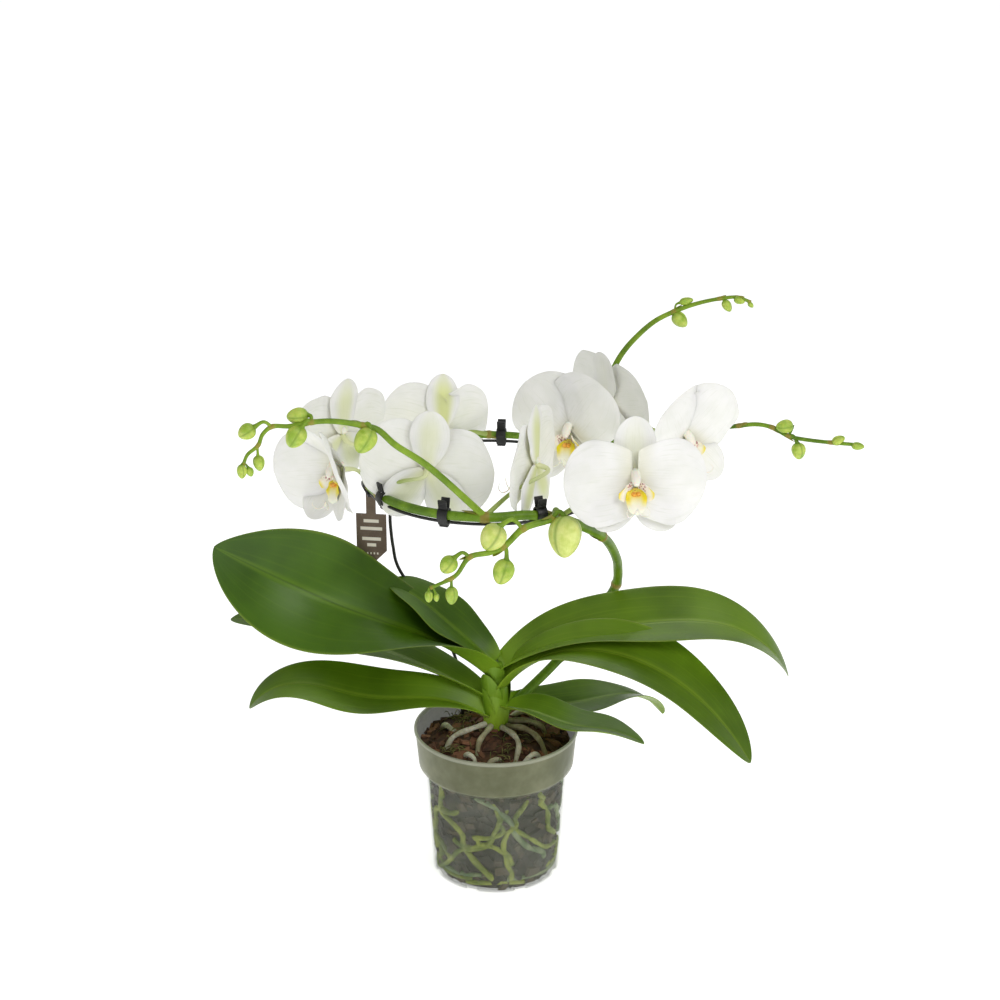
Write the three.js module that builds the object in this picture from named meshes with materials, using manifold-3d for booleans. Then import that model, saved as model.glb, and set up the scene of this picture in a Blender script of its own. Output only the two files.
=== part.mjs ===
// A moth orchid trained round a wire hoop, growing in a clear nursery pot.
// Millimetres, +Z up. The origin is the centre of the pot's flat underside.
import * as THREE from 'three';
import { mergeVertices } from 'three/addons/utils/BufferGeometryUtils.js';
import Module from 'manifold-3d';

const wasm = await Module();
wasm.setup();
const { Manifold, Mesh: SolidMesh } = wasm;
const { degToRad, lerp, clamp } = THREE.MathUtils;

// Driving dimensions
const clearance = 0.35;         // gap between two pieces that touch
const detail = 0.12;            // faces finer than this are merged

const potHeight = 113.5;
const rimRadius = 60;
const shoulderRadius = 52.3;    // the body where the rim band starts
const baseRadius = 47.2;
const rimBand = 34;             // height of the wider band under the rim
const potWall = 1.2;
const rimFlare = 3;             // how much wider the band is at its top
const notchCount = 8;
const notchWidth = 9;
const notchHeight = 4;
const headspace = 11.5;         // from the rim down to the potting mix at its edge
const moundHeight = 9;          // how far the mix rises towards the crown

const crownRadius = 12;
const crownHeight = 62;
const leafThickness = 1.8;

const hoopRadius = 85.5;
const hoopRise = 203.5;         // from the mix up to the hoop
const hoopShift = -5;           // the hoop's centre, along X from the pot's axis
const wireRadius = 1.1;
const stemRadius = 3.4;
const stemTipRadius = 1.3;
const shootRadius = 2.4;
const shootTipRadius = 1.1;
const stalkRadius = 1.4;

const petalLength = 46;
const petalWidth = 56;
const sepalLength = 40;
const sepalWidth = 28;
const petalThickness = 1;
const sepalDrop = 3;            // how far the sepals sit behind the petals
const columnRadius = 2.9;
const columnLength = 8;
const lipLength = 19;
const lipWidth = 12;

const tagWidth = 22;
const tagHeight = 36;
const tagThickness = 0.8;
const tagDrop = 31;             // from the hoop down to the card's top edge
const tagStrap = 7;             // width of the strap that loops over the wire
const clipWall = 1.3;
const clipLength = 7;
const rootRadius = 2.3;

// Worked out from them
const mixLevel = potHeight - headspace;
const hoopLevel = mixLevel + hoopRise;
const stemLevel = hoopLevel + wireRadius + clearance + stemRadius;
const hoopCentre = new THREE.Vector3(hoopShift, 0, hoopLevel);
const stemCentre = new THREE.Vector3(hoopShift, 0, stemLevel);

// Small helpers
const vec = (x, y, z) => new THREE.Vector3(x, y, z);
const offset = (origin, [x, y, z]) => origin.clone().add(vec(x, y, z));
const onHoop = (centre, degrees, radius = hoopRadius) => {
  const turn = degToRad(degrees);
  return offset(centre, [radius * Math.cos(turn), radius * Math.sin(turn), 0]);
};

// A smooth run through evenly spaced values, read at s from 0 to 1.
function along(values, s) {
  const last = values.length - 1;
  const at = (k) => {
    if (k < 0) return 2 * values[0] - values[1];
    if (k > last) return 2 * values[last] - values[last - 1];
    return values[k];
  };
  const x = clamp(s, 0, 1) * last;
  const i = Math.min(Math.floor(x), last - 1);
  const t = x - i;
  const [a, b, c, d] = [at(i - 1), at(i), at(i + 1), at(i + 2)];
  return b + 0.5 * t * (c - a + t * (2 * a - 5 * b + 4 * c - d + t * (3 * (b - c) + d - a)));
}

function bend(geometry, place) {
  const position = geometry.attributes.position;
  const point = new THREE.Vector3();
  for (let i = 0; i < position.count; i += 1) {
    point.fromBufferAttribute(position, i);
    const moved = place(point);
    position.setXYZ(i, moved.x, moved.y, moved.z);
  }
  return geometry;
}

function solidOf(geometry) {
  geometry.deleteAttribute('normal');
  geometry.deleteAttribute('uv');
  const merged = mergeVertices(geometry, 1e-3);
  return new Manifold(new SolidMesh({
    numProp: 3,
    vertProperties: new Float32Array(merged.attributes.position.array),
    triVerts: new Uint32Array(merged.index.array),
  }));
}

const join = (solids) => solids.reduce((whole, solid) => whole.add(solid));

const largestBody = (solid) => solid.decompose()
  .reduce((best, body) => (body.volume() > best.volume() ? body : best));

// A rod along a curve, with a radius that runs smoothly through the given values.
function rod(curve, radii, steps, sides, grow = 0) {
  const frames = curve.computeFrenetFrames(steps, false);
  const places = curve.getSpacedPoints(steps);
  const geometry = new THREE.CylinderGeometry(1, 1, 1, sides, steps);
  return solidOf(bend(geometry, ({ x, y, z }) => {
    const s = y + 0.5;
    const k = Math.round(s * steps);
    const radius = along(radii, s) + grow;
    const endward = (k === steps ? grow : 0) - (k === 0 ? grow : 0);
    return places[k].clone()
      .addScaledVector(frames.binormals[k], x * radius)
      .addScaledVector(frames.normals[k], z * radius)
      .addScaledVector(frames.tangents[k], endward);
  }));
}

const curveThrough = (points) => new THREE.CatmullRomCurve3(points, false, 'centripetal');

// Splits the squares of a box's underside along the same lines as those of its top,
// so that a thin blade keeps its thickness where it twists.
function matchUnderside(geometry) {
  const { start, count } = geometry.groups.at(-1);
  for (let i = start; i < start + count; i += 6) {
    const [a, b, d, , c] = geometry.index.array.slice(i, i + 6);
    geometry.index.array.set([a, b, c, a, c, d], i);
  }
}

// A leaf, petal or sepal: a folded strip whose heading, rise and roll change along it.
function blade(shape, lengthSteps, widthSteps, grow = 0) {
  const fine = 4;
  const spine = [offset(vec(0, 0, 0), shape.base)];
  const direction = (s) => {
    const heading = degToRad(along(shape.heading, s));
    const rise = degToRad(along(shape.rise, s));
    const level = Math.cos(rise);
    return vec(level * Math.cos(heading), level * Math.sin(heading), Math.sin(rise));
  };
  const total = lengthSteps * fine;
  for (let k = 0; k < total; k += 1) {
    spine.push(spine[k].clone().addScaledVector(direction((k + 0.5) / total), shape.length / total));
  }
  const geometry = new THREE.BoxGeometry(1, 1, 1, lengthSteps, widthSteps, 1);
  matchUnderside(geometry);
  return solidOf(bend(geometry, ({ x, y, z }) => {
    const s = x + 0.5;
    const across = 2 * y;
    const ahead = direction(s);
    const heading = degToRad(along(shape.heading, s));
    const roll = degToRad(along(shape.roll, s));
    const flat = vec(-Math.sin(heading), Math.cos(heading), 0);
    const face = ahead.clone().cross(flat);
    const side = flat.clone().multiplyScalar(Math.cos(roll)).addScaledVector(face, Math.sin(roll));
    const up = face.multiplyScalar(Math.cos(roll)).addScaledVector(flat, -Math.sin(roll));
    const fold = degToRad(lerp(shape.fold[1], shape.fold[0], (1 - s) ** 2));
    const half = bladeHalfWidth(shape, s) + grow;
    const thick = z * (shape.thickness + 2 * grow);
    const end = s > 0.999 ? grow : (s < 0.001 ? -grow : 0);
    return spine[Math.round(s * total)].clone()
      .addScaledVector(side, across * half * Math.cos(fold))
      .addScaledVector(up, Math.abs(across) * half * Math.sin(fold) + thick)
      .addScaledVector(ahead, end);
  }));
}

// Narrow at its foot, widest part way along, closing to a blunt tip.
function bladeHalfWidth(shape, s) {
  const footShare = shape.foot ?? 0.3;
  const tipHalf = 0.6;
  if (s < shape.widest) {
    const back = 1 - s / shape.widest;
    return (shape.width / 2) * (1 - (1 - footShare) * back ** (shape.taper ?? 2));
  }
  const on = (s - shape.widest) / (1 - shape.widest);
  return Math.max(tipHalf, (shape.width / 2) * Math.max(0, 1 - on ** 2.1) ** (shape.blunt ?? 0.66));
}

// An egg-shaped bud from its foot along an axis.
function bud(centre, axis, length, width, grow = 0) {
  const up = axis.clone().normalize();
  const turn = new THREE.Quaternion().setFromUnitVectors(vec(0, 1, 0), up);
  const geometry = new THREE.SphereGeometry(1, 6, 4);
  return solidOf(bend(geometry, ({ x, y, z }) => {
    const waist = 1 - 0.28 * y;
    return vec(x * waist * (width / 2 + grow), y * (length / 2 + grow), z * waist * (width / 2 + grow))
      .applyQuaternion(turn)
      .add(centre);
  }));
}

// Pieces already placed, each a little larger than life, so that later ones clear them.
const placed = [];
const object = new THREE.Group();

const overlaps = (a, b) => [0, 1, 2].every((i) => a.min[i] < b.max[i] && b.min[i] < a.max[i]);

function addPiece(name, shape, colour, roughness, metalness = 0) {
  let solid = shape(0);
  for (const neighbour of placed) {
    if (overlaps(solid.boundingBox(), neighbour.boundingBox())) solid = solid.subtract(neighbour);
  }
  solid = largestBody(solid.simplify(detail));
  placed.push(shape(clearance));
  const { vertProperties, triVerts } = solid.getMesh();
  const geometry = new THREE.BufferGeometry();
  geometry.setAttribute('position', new THREE.BufferAttribute(vertProperties, 3));
  geometry.setIndex(new THREE.BufferAttribute(triVerts, 1));
  geometry.computeVertexNormals();
  const mesh = new THREE.Mesh(geometry, new THREE.MeshStandardMaterial({ color: colour, roughness, metalness }));
  mesh.name = name;
  object.add(mesh);
}

// The pot: a tapered cup with a wider band under its rim and notches round its foot.
const potSides = 30;
const bandFoot = potHeight - rimBand;

function potProfile(inset) {
  const slope = (shoulderRadius - baseRadius) / bandFoot;
  const floor = inset;
  return [
    [0, floor],
    [baseRadius + slope * floor - inset - 2, floor],
    [baseRadius + slope * (floor + 2) - inset, floor + 2],
    [shoulderRadius - inset, bandFoot],
    [rimRadius - rimFlare - inset, bandFoot + 6],
    [rimRadius - inset, potHeight],
  ];
}

const lathe = (profile, sides) => solidOf(
  bend(new THREE.LatheGeometry(profile.map(([r, z]) => new THREE.Vector2(r, z)), sides),
    ({ x, y, z }) => vec(x, -z, y)),
);

function potShape(grow) {
  const outside = potProfile(-grow);
  const inside = potProfile(potWall + grow).reverse();
  outside[outside.length - 1][1] += grow;
  inside[0][1] += grow;
  let pot = lathe([...outside, ...inside], potSides);
  for (let k = 0; k < notchCount; k += 1) {
    const notch = new THREE.BoxGeometry(8, notchWidth - 2 * grow, 2 * (notchHeight - grow));
    notch.translate(baseRadius + 1, 0, 0);
    notch.rotateZ((k + 0.5) * (2 * Math.PI) / notchCount);
    if (grow === 0) pot = pot.subtract(solidOf(notch));
  }
  return pot;
}
addPiece('pot', potShape, 0x8b8e72, 0.3);

// The crown: the short stem that carries the leaves and the flower stem.
const crownTop = mixLevel + crownHeight;
const crownCurve = curveThrough([
  vec(0, 0, mixLevel - 8), vec(0, 0, mixLevel + moundHeight), vec(0, 0, lerp(mixLevel, crownTop, 0.55)),
  vec(0, 0, crownTop),
]);
const crownShape = (grow) => rod(
  crownCurve,
  [0.8, 0.85, 1, 0.9, 0.4].map((share) => share * crownRadius),
  7, 10, grow,
);
addPiece('crown', crownShape, 0x7d8f35, 0.6);

// The flower stem rises behind the right-hand leaves, follows the hoop and runs out to the right.
// Each rise point is an angle, a share of the hoop's radius and a share of the stem's height.
const stemRise = [
  [20, 0.12, 0.09], [26, 0.22, 0.12], [24, 0.35, 0.16], [26, 0.65, 0.25], [24, 0.95, 0.38], [18, 1.14, 0.53],
  [13, 1.12, 0.62], [6, 1.07, 0.68], [-8, 1, 0.77], [-23, 0.98, 0.84], [-40, 0.98, 0.91], [-56, 1, 0.97],
];
const stemTail = [
  [110, 60, 3], [126, 45, 11], [151, 34, 20], [177, 22, 28], [189, 16, 31], [199, 12, 30], [210, 8, 25],
  [222, 3, 24], [238, -3, 24], [256, -8, 24],
];
const arcStart = -72;
const arcEnd = -296;
const arcSteps = 15;

const stemPoints = [
  ...stemRise.map(([angle, share, height]) => {
    const point = onHoop(stemCentre, angle, share * hoopRadius);
    point.z = lerp(mixLevel, stemLevel, height);
    return point;
  }),
  ...Array.from({ length: arcSteps + 1 }, (_, k) => onHoop(stemCentre, lerp(arcStart, arcEnd, k / arcSteps))),
  ...stemTail.map(([x, y, z]) => offset(onHoop(stemCentre, 0), [x - 85.5, y, z])),
];
const stemCurve = curveThrough(stemPoints);
stemCurve.arcLengthDivisions = 600;

// A bud on its own bent stalk: where the stalk leaves, where the bud is, which way it points, its size.
function budOnStalk([foot, centre, axis, length, width], grow) {
  const direction = vec(...axis).normalize();
  const neck = centre.clone().addScaledVector(direction, -0.4 * length);
  const lift = 0.25 * neck.distanceTo(foot);
  const knee = foot.clone().lerp(neck, 0.5).add(vec(0, 0, lift)).addScaledVector(direction, -0.1 * length);
  const radius = clamp(width * 0.11, 0.7, stalkRadius);
  return join([
    bud(centre, direction, length, width, grow),
    rod(curveThrough([foot, knee, neck]), [radius, radius], 3, 3, grow),
  ]);
}

const tailBuds = [
  [stemPoints.at(-4), offset(stemCentre, [207, 9, 32]), [-0.9, 0, -0.1], 12, 9.5],
  [stemPoints.at(-4), offset(stemCentre, [217, 5, 15]), [0.15, -0.1, -1], 12, 10],
  [stemPoints.at(-2), offset(stemCentre, [243, -4, 26]), [0.8, 0, 0.4], 9.5, 6.5],
  [stemPoints.at(-1), offset(stemCentre, [256, -8, 23]), [1, 0, -0.1], 9, 5.5],
];

const stemShape = (grow) => join([
  rod(stemCurve, [1, 1, 0.97, 0.9, 0.8, 0.55, stemTipRadius / stemRadius].map((share) => share * stemRadius), 50, 6, grow),
  ...tailBuds.map((one) => budOnStalk(one, grow)),
]);
addPiece('flower_stem', stemShape, 0x6e9632, 0.5);

// The hoop: a wire ring, and the leg that carries it down into the mix.
const legPoints = [
  onHoop(hoopCentre, 200),
  ...[[-74, -15, -5], [-70, -5, -17], [-70, 5, -35], [-69, 14, -55], [-66, 22, -75]]
    .map((point) => offset(onHoop(hoopCentre, 0), [point[0] - 85.5, point[1], point[2]])),
  vec(-50, 34, mixLevel + 88), vec(-30, 36, mixLevel + 48), vec(-24, 31, mixLevel - 25),
];
const hoopSides = 36;
const wireSides = 6;

function hoopShape(grow) {
  const section = Array.from({ length: wireSides + 1 }, (_, k) => {
    const turn = (k / wireSides) * 2 * Math.PI;
    const radius = wireRadius + grow;
    return [hoopRadius + radius * Math.cos(turn), hoopLevel + radius * Math.sin(turn)];
  });
  section[wireSides] = section[0];
  const ring = lathe(section, hoopSides).translate([hoopShift, 0, 0]);
  return ring.add(rod(curveThrough(legPoints), [wireRadius, 1.15 * wireRadius], 15, wireSides, grow));
}
addPiece('support_hoop', hoopShape, 0x232321, 0.45);

// Fat white roots leave the crown, arch over the mix and dive into it.
const roots = {
  root_left: [[-6, -4, 15], [-20, -12, 14], [-33, -18, 9], [-38, -21, -5]],
  root_front_left: [[-4, -8, 15], [-9, -19, 13], [-13, -28, 8], [-14, -32, -5]],
  root_front: [[4, -8, 14], [12, -20, 15], [16, -32, 11], [13, -41, -5]],
  root_front_right: [[8, -5, 14], [22, -16, 16], [33, -24, 10], [37, -28, -5]],
  root_right: [[8, 1, 15], [22, 0, 15], [34, 3, 9], [38, 5, -5]],
};
for (const [name, route] of Object.entries(roots)) {
  const curve = curveThrough(route.map((point) => offset(vec(0, 0, mixLevel), point)));
  addPiece(name, (grow) => rod(curve, [1, 0.95, 0.9].map((share) => share * rootRadius), 6, 5, grow), 0xc9c7a8, 0.6);
}

// The potting mix fills the pot up to its headspace, with a lumpy top.
function mixShape(grow) {
  const gap = potWall + 2 * clearance;
  const wall = potProfile(gap);
  const reach = (mixLevel - wall[4][1]) / (potHeight - wall[4][1]);
  const edge = lerp(wall[4][0], wall[5][0], reach);
  const profile = [
    ...wall.slice(0, 5), [edge, mixLevel - 1], [0.7 * edge, mixLevel + 0.3 * moundHeight],
    [0.4 * edge, mixLevel + 0.8 * moundHeight], [0, mixLevel + moundHeight],
  ];
  return lathe(profile, potSides).translate([0, 0, grow]);
}
addPiece('potting_mix', mixShape, 0x49453a, 0.9);

// The leaves, from the crown outwards. Angles are in degrees at even steps along the leaf,
// and the base is measured from the crown where it leaves the mix.
const leaves = [
  { name: 'leaf_left_large', base: [-5, -3, 54], heading: [189, 187, 188], rise: [45, 24, 29, 32],
    roll: [21, -39, -100], length: 223, width: 88, widest: 0.61, taper: 1.7 },
  { name: 'leaf_centre_young', base: [-1, 1, 62], heading: [165, 172, 178], rise: [36, 40, 40, 18],
    roll: [-19, -12, -5], length: 98, width: 51, widest: 0.59 },
  { name: 'leaf_right_large', base: [5, 1, 58], heading: [1, -7, -11], rise: [37, 13, -2, -65],
    roll: [18, 13, -8], length: 229, width: 69, widest: 0.6 },
  { name: 'leaf_right_second', base: [5, -4, 44], heading: [-17, -24, -31], rise: [57, 10, -27, -55],
    roll: [16, 12, -3], length: 224, width: 60, widest: 0.56 },
  { name: 'leaf_left_back', base: [-7, 2, 32], heading: [163, 166, 171], rise: [27, 16, 11, -8],
    roll: [5, -4, -3], length: 204, width: 57, widest: 0.59 },
  { name: 'leaf_right_low_front', base: [7, -7, 29], heading: [-40, -35, -30], rise: [20, -3, 10, -18],
    roll: [7, -5, -14], length: 119, width: 42, widest: 0.51 },
  { name: 'leaf_right_low_back', base: [8, 6, 28], heading: [19, 24, 16], rise: [-21, -6, -3, -64],
    roll: [23, 7, -26], length: 138, width: 42, widest: 0.49 },
  { name: 'leaf_left_low', base: [-7, -6, 22], heading: [185, 181, 186], rise: [35, 0, 16, -55],
    roll: [-13, -16, -5], length: 183, width: 53, widest: 0.58, taper: 2.2 },
];
for (const leaf of leaves) {
  const shape = {
    ...leaf,
    base: [leaf.base[0], leaf.base[1], mixLevel + leaf.base[2]],
    fold: [38, 7],
    thickness: leafThickness,
  };
  addPiece(leaf.name, (grow) => blade(shape, 10, 4, grow), 0x4f7a26, 0.35);
}

// Side shoots: a route from the stem, then the buds that hang from its points.
const shoots = [
  { name: 'bud_shoot_left', foot: onHoop(stemCentre, -91),
    route: [[-40, -92, 39], [-60, -95, 54], [-71, -97, 65], [-80, -98, 68], [-99, -101, 72], [-113, -103, 72],
      [-127, -105, 70], [-138, -106, 70], [-144, -107, 65], [-147, -108, 58], [-154, -109, 52], [-157, -109, 45]],
    buds: [
      [4, [-79, -101, 59], [-0.5, -0.1, -0.85], 18, 14], [6, [-122, -99, 75], [-1, 0, -0.1], 14, 11],
      [6, [-123, -105, 63], [-0.5, 0, -0.8], 16, 13], [8, [-154, -107, 67], [-0.8, 0, -0.5], 12, 10.5],
      [10, [-147, -108, 46], [0.1, 0, -1], 10.5, 7.5], [12, [-158, -110, 41], [0, 0, -1], 9.5, 6.5],
      [12, [-153, -108, 40], [0.3, 0, -1], 6.5, 5],
    ] },
  { name: 'bud_shoot_front', foot: onHoop(stemCentre, -58),
    route: [[42, -88, 0], [23, -96, -4], [14, -99, -12], [10, -101, -15], [1, -103, -18], [-12, -106, -20],
      [-20, -108, -31], [-24, -109, -34], [-33, -110, -38], [-38, -111, -40]],
    buds: [
      [1, [51, -92, -11], [-0.05, -0.2, -1], 28, 22], [2, [3, -101, -8], [-0.5, -0.1, -0.85], 19, 17],
      [4, [10, -102, -32], [-0.3, 0, -0.95], 18, 14], [6, [-26, -107, -25], [-0.6, 0, -0.8], 13, 11.5],
      [8, [-24, -109, -46], [0, 0, -1], 12.5, 8.5], [10, [-39, -111, -46], [0, 0, -1], 8, 5.5],
      [10, [-34, -110, -47], [0.1, 0, -1], 6, 4],
    ] },
  { name: 'bud_shoot_top', foot: onHoop(stemCentre, 56),
    route: [[78, 78, 29], [96, 72, 66], [107, 68, 81], [119, 64, 93], [132, 60, 101], [147, 55, 108],
      [163, 50, 113], [175, 46, 115], [184, 44, 112]],
    buds: [
      [5, [136, 59, 95], [0.6, 0, -0.6], 13, 10], [5, [140, 58, 109], [0.9, 0, 0.2], 10, 5.5],
      [7, [168, 49, 108], [0.5, 0, -0.8], 9.5, 6.5], [8, [176, 45, 113], [0.9, 0, -0.3], 8, 5.5],
      [9, [184, 44, 110], [0.7, 0, -0.7], 5, 3.5],
    ] },
];
for (const shoot of shoots) {
  const points = [shoot.foot, ...shoot.route.map(([x, y, z]) => offset(onHoop(stemCentre, 0), [x - 85.5, y, z]))];
  const curve = curveThrough(points);
  const budList = shoot.buds.map(([index, place, ...rest]) => [
    points[index], offset(onHoop(stemCentre, 0), [place[0] - 85.5, place[1], place[2]]), ...rest,
  ]);
  addPiece(shoot.name, (grow) => join([
    rod(curve, [shootRadius, 0.85 * shootRadius, shootTipRadius], 13, 5, grow),
    ...budList.map((one) => budOnStalk(one, grow)),
  ]), 0x86a83c, 0.5);
}

// Black clips hold the stem to the wire: a sleeve round both, with a finger tab on top.
const clipAngles = { stem_clip_front: -110, stem_clip_right: -66, stem_clip_left: -146, stem_clip_side: -165, stem_clip_back: 84 };
function clipShape(angle) {
  const outer = stemRadius + clearance + clipWall;
  return (grow) => {
    const lowest = hoopLevel - wireRadius - clearance - clipWall - stemLevel;
    const sleeve = new THREE.BoxGeometry(2 * (outer + grow), clipLength + 2 * grow, outer - lowest + 2 * grow);
    sleeve.translate(0, 0, (outer + lowest) / 2);
    const tab = new THREE.BoxGeometry(1.6 + 2 * grow, clipLength - 1 + 2 * grow, 7 + grow);
    tab.translate(2.4, 0, outer + 2);
    const place = (geometry) => {
      geometry.rotateZ(degToRad(angle));
      const spot = onHoop(stemCentre, angle);
      return solidOf(geometry.translate(spot.x, spot.y, spot.z));
    };
    return join([sleeve, tab].map(place));
  };
}
for (const [name, angle] of Object.entries(clipAngles)) {
  addPiece(name, clipShape(angle), 0x161616, 0.5);
}

// The hang tag, a card with two cut corners on a strap that loops over the hoop.
function tagShape(grow) {
  const w = tagWidth / 2 + grow;
  const h = tagHeight + grow;
  const cut = 8;
  const outline = new THREE.Shape();
  outline.moveTo(-w, grow);
  outline.lineTo(-w, -h + cut);
  outline.lineTo(-w + cut, -h);
  outline.lineTo(w - cut, -h);
  outline.lineTo(w, -h + cut);
  outline.lineTo(w, grow);
  outline.lineTo(tagStrap / 2 + grow, grow);
  outline.lineTo(tagStrap / 2 + grow, tagDrop + tagStrap / 2 + grow);
  outline.lineTo(-tagStrap / 2 - grow, tagDrop + tagStrap / 2 + grow);
  outline.lineTo(-tagStrap / 2 - grow, grow);
  const card = new THREE.ExtrudeGeometry(outline, { depth: tagThickness + 2 * grow, bevelEnabled: false });
  card.translate(0, 0, -tagThickness / 2 - grow);
  card.rotateX(degToRad(90));
  card.rotateZ(degToRad(-8));
  const corner = offset(onHoop(hoopCentre, 170), [0, 0, -tagDrop]);
  return solidOf(card.translate(corner.x, corner.y, corner.z));
}
addPiece('hang_tag', tagShape, 0x615443, 0.8);

// A flower, drawn facing +Z with its back sepal up +Y, then turned to face where it looks.
const tepals = [
  { heading: 8, petal: true }, { heading: 172, petal: true },
  { heading: 90 }, { heading: -52 }, { heading: -128 },
];
function tepalShape({ heading: level, petal }, { spread, lift }) {
  const heading = petal ? level + Math.sign(90 - level) * lift : level;
  const turn = degToRad(heading);
  return {
    base: [1.5 * Math.cos(turn), 1.5 * Math.sin(turn), petal ? 0 : -sepalDrop],
    heading: [heading, heading],
    rise: petal ? [12 + spread, 0 + spread, -14 + spread] : [2 + spread, 0 + spread, 4 + spread],
    roll: [0, 0],
    length: petal ? petalLength : sepalLength,
    width: petal ? petalWidth : sepalWidth,
    widest: petal ? 0.56 : 0.55,
    foot: petal ? 0.2 : 0.3,
    taper: petal ? 2.4 : 2,
    fold: petal ? [14, -6] : [10, 6],
    blunt: 0.55,
    thickness: petalThickness,
  };
}

const flowers = [
  { name: 'flower_1', place: [-100, -62, 25], faces: -138, tilt: -5, spin: 14, lift: 0, spread: 34, foot: 0.5 },
  { name: 'flower_2', place: [-104, 10, 26], faces: 138, tilt: 10, spin: 5, lift: -5, spread: 5, foot: 0.6 },
  { name: 'flower_3', place: [-41, -50, 21], faces: 80, tilt: -8, spin: 5, lift: 0, spread: -5, foot: 0.48 },
  { name: 'flower_4', place: [-35, 72, 9], faces: 115, tilt: 0, spin: 10, lift: 0, spread: 20, foot: 0.68 },
  { name: 'flower_5', place: [30, -50, 25], faces: 160, tilt: 0, spin: 0, lift: 5, spread: 0, foot: 0.38 },
  { name: 'flower_6', place: [57, 6, 29], faces: -118, tilt: 5, spin: 5, lift: 42, spread: 10, foot: 0.8 },
  { name: 'flower_7', place: [85, 48, 35], faces: 32, tilt: 10, spin: 0, lift: 10, spread: 5, foot: 0.84 },
  { name: 'flower_8', place: [96, -95, 30], faces: -88, tilt: 10, spin: 0, lift: -12, spread: 0, foot: 0.32 },
  { name: 'flower_9', place: [136, 0, 26], faces: -52, tilt: 0, spin: 2, lift: 46, spread: 22, foot: 0.88 },
];

function flowerFrame({ place, faces, tilt, spin }) {
  const forward = vec(
    Math.cos(degToRad(tilt)) * Math.cos(degToRad(faces)),
    Math.cos(degToRad(tilt)) * Math.sin(degToRad(faces)),
    Math.sin(degToRad(tilt)),
  );
  const right = vec(0, 0, 1).cross(forward).normalize();
  const up = forward.clone().cross(right);
  const centre = offset(onHoop(stemCentre, 0), [place[0] - 85.5, place[1], place[2]]);
  return new THREE.Matrix4().makeBasis(right, up, forward)
    .setPosition(centre)
    .multiply(new THREE.Matrix4().makeRotationZ(degToRad(spin)));
}

function flowerShape(flower) {
  const frame = flowerFrame(flower);
  const centre = vec(0, 0, -1).applyMatrix4(frame);
  const behind = vec(0, -2, -14).applyMatrix4(frame);
  const foot = stemCurve.getPointAt(flower.foot);
  const stalk = curveThrough([centre, behind, behind.clone().lerp(foot, 0.55).add(vec(0, 0, 3)), foot]);
  const column = new THREE.CatmullRomCurve3([vec(0, 0, -1.5 - sepalDrop), vec(0, -0.5, 2), vec(0, -1.5, columnLength)]);
  return (grow) => join([
    ...tepals.map((tepal) => blade(tepalShape(tepal, flower), tepal.petal ? 4 : 3, tepal.petal ? 4 : 2, grow)),
    rod(column, [columnRadius, columnRadius, 0.8 * columnRadius], 2, 5, grow),
  ]).transform(frame.elements).add(rod(stalk, [stalkRadius, stalkRadius], 5, 4, grow));
}

// The lip: a pointed tongue between two upright side lobes, held clear of the column.
function lipShape(flower) {
  const frame = flowerFrame(flower);
  const tongue = {
    base: [0, -4.5, 1], heading: [-90, -90], rise: [75, 30, 10], roll: [0, 0],
    length: lipLength, width: lipWidth, widest: 0.55, foot: 0.5, fold: [20, 10], thickness: 1.2,
  };
  const lobe = (side) => ({
    base: [side * 1.5, -5, 2.5], heading: [-90 + side * 75, -90 + side * 60, -90 + side * 100],
    rise: [20, 45, 80], roll: [side * 35, side * 60], length: 0.62 * lipLength, width: 0.72 * lipWidth,
    widest: 0.6, foot: 0.5, fold: [0, 0], thickness: 1.2,
  });
  return (grow) => join([
    blade(tongue, 3, 2, grow), blade(lobe(1), 2, 2, grow), blade(lobe(-1), 2, 2, grow),
  ]).transform(frame.elements);
}

for (const flower of flowers) addPiece(flower.name, flowerShape(flower), 0xf2f1e8, 0.5);
for (const flower of flowers) addPiece(`${flower.name}_lip`, lipShape(flower), 0xe8d98a, 0.5);

export default object;
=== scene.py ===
import math
import bmesh
import bpy
import numpy as np
from mathutils import Matrix, Vector


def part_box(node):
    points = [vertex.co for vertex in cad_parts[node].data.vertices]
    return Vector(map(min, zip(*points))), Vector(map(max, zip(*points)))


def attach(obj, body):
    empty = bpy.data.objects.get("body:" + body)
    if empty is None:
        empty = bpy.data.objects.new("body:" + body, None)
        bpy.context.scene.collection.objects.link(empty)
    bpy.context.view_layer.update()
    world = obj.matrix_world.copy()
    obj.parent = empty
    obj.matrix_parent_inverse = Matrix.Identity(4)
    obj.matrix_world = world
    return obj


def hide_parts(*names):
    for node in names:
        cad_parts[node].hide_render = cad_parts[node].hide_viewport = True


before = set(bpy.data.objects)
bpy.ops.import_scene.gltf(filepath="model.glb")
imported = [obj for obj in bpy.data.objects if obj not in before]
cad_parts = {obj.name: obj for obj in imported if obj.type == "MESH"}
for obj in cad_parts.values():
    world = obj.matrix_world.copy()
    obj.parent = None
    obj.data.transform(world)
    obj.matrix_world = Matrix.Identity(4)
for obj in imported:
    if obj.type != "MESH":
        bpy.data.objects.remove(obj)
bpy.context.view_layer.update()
print("frame loaded")

mm = 0.001
touchGap = 0.35 * mm  # left between pieces that touch
fullTurn = 2 * math.pi

# Levels and centres read from the frame
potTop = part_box("pot")[1].z
rimRadius = max(abs(value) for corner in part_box("pot") for value in corner[:2])
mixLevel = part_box("crown")[0].z + 8 * mm
hoopLow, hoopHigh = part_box("support_hoop")


# Small helpers

def colour(red, green, blue):
    parts = [value / 255 for value in (red, green, blue)]
    linear = [part / 12.92 if part < 0.04 else ((part + 0.055) / 1.055) ** 2.4 for part in parts]
    return (*linear, 1.0)


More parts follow.
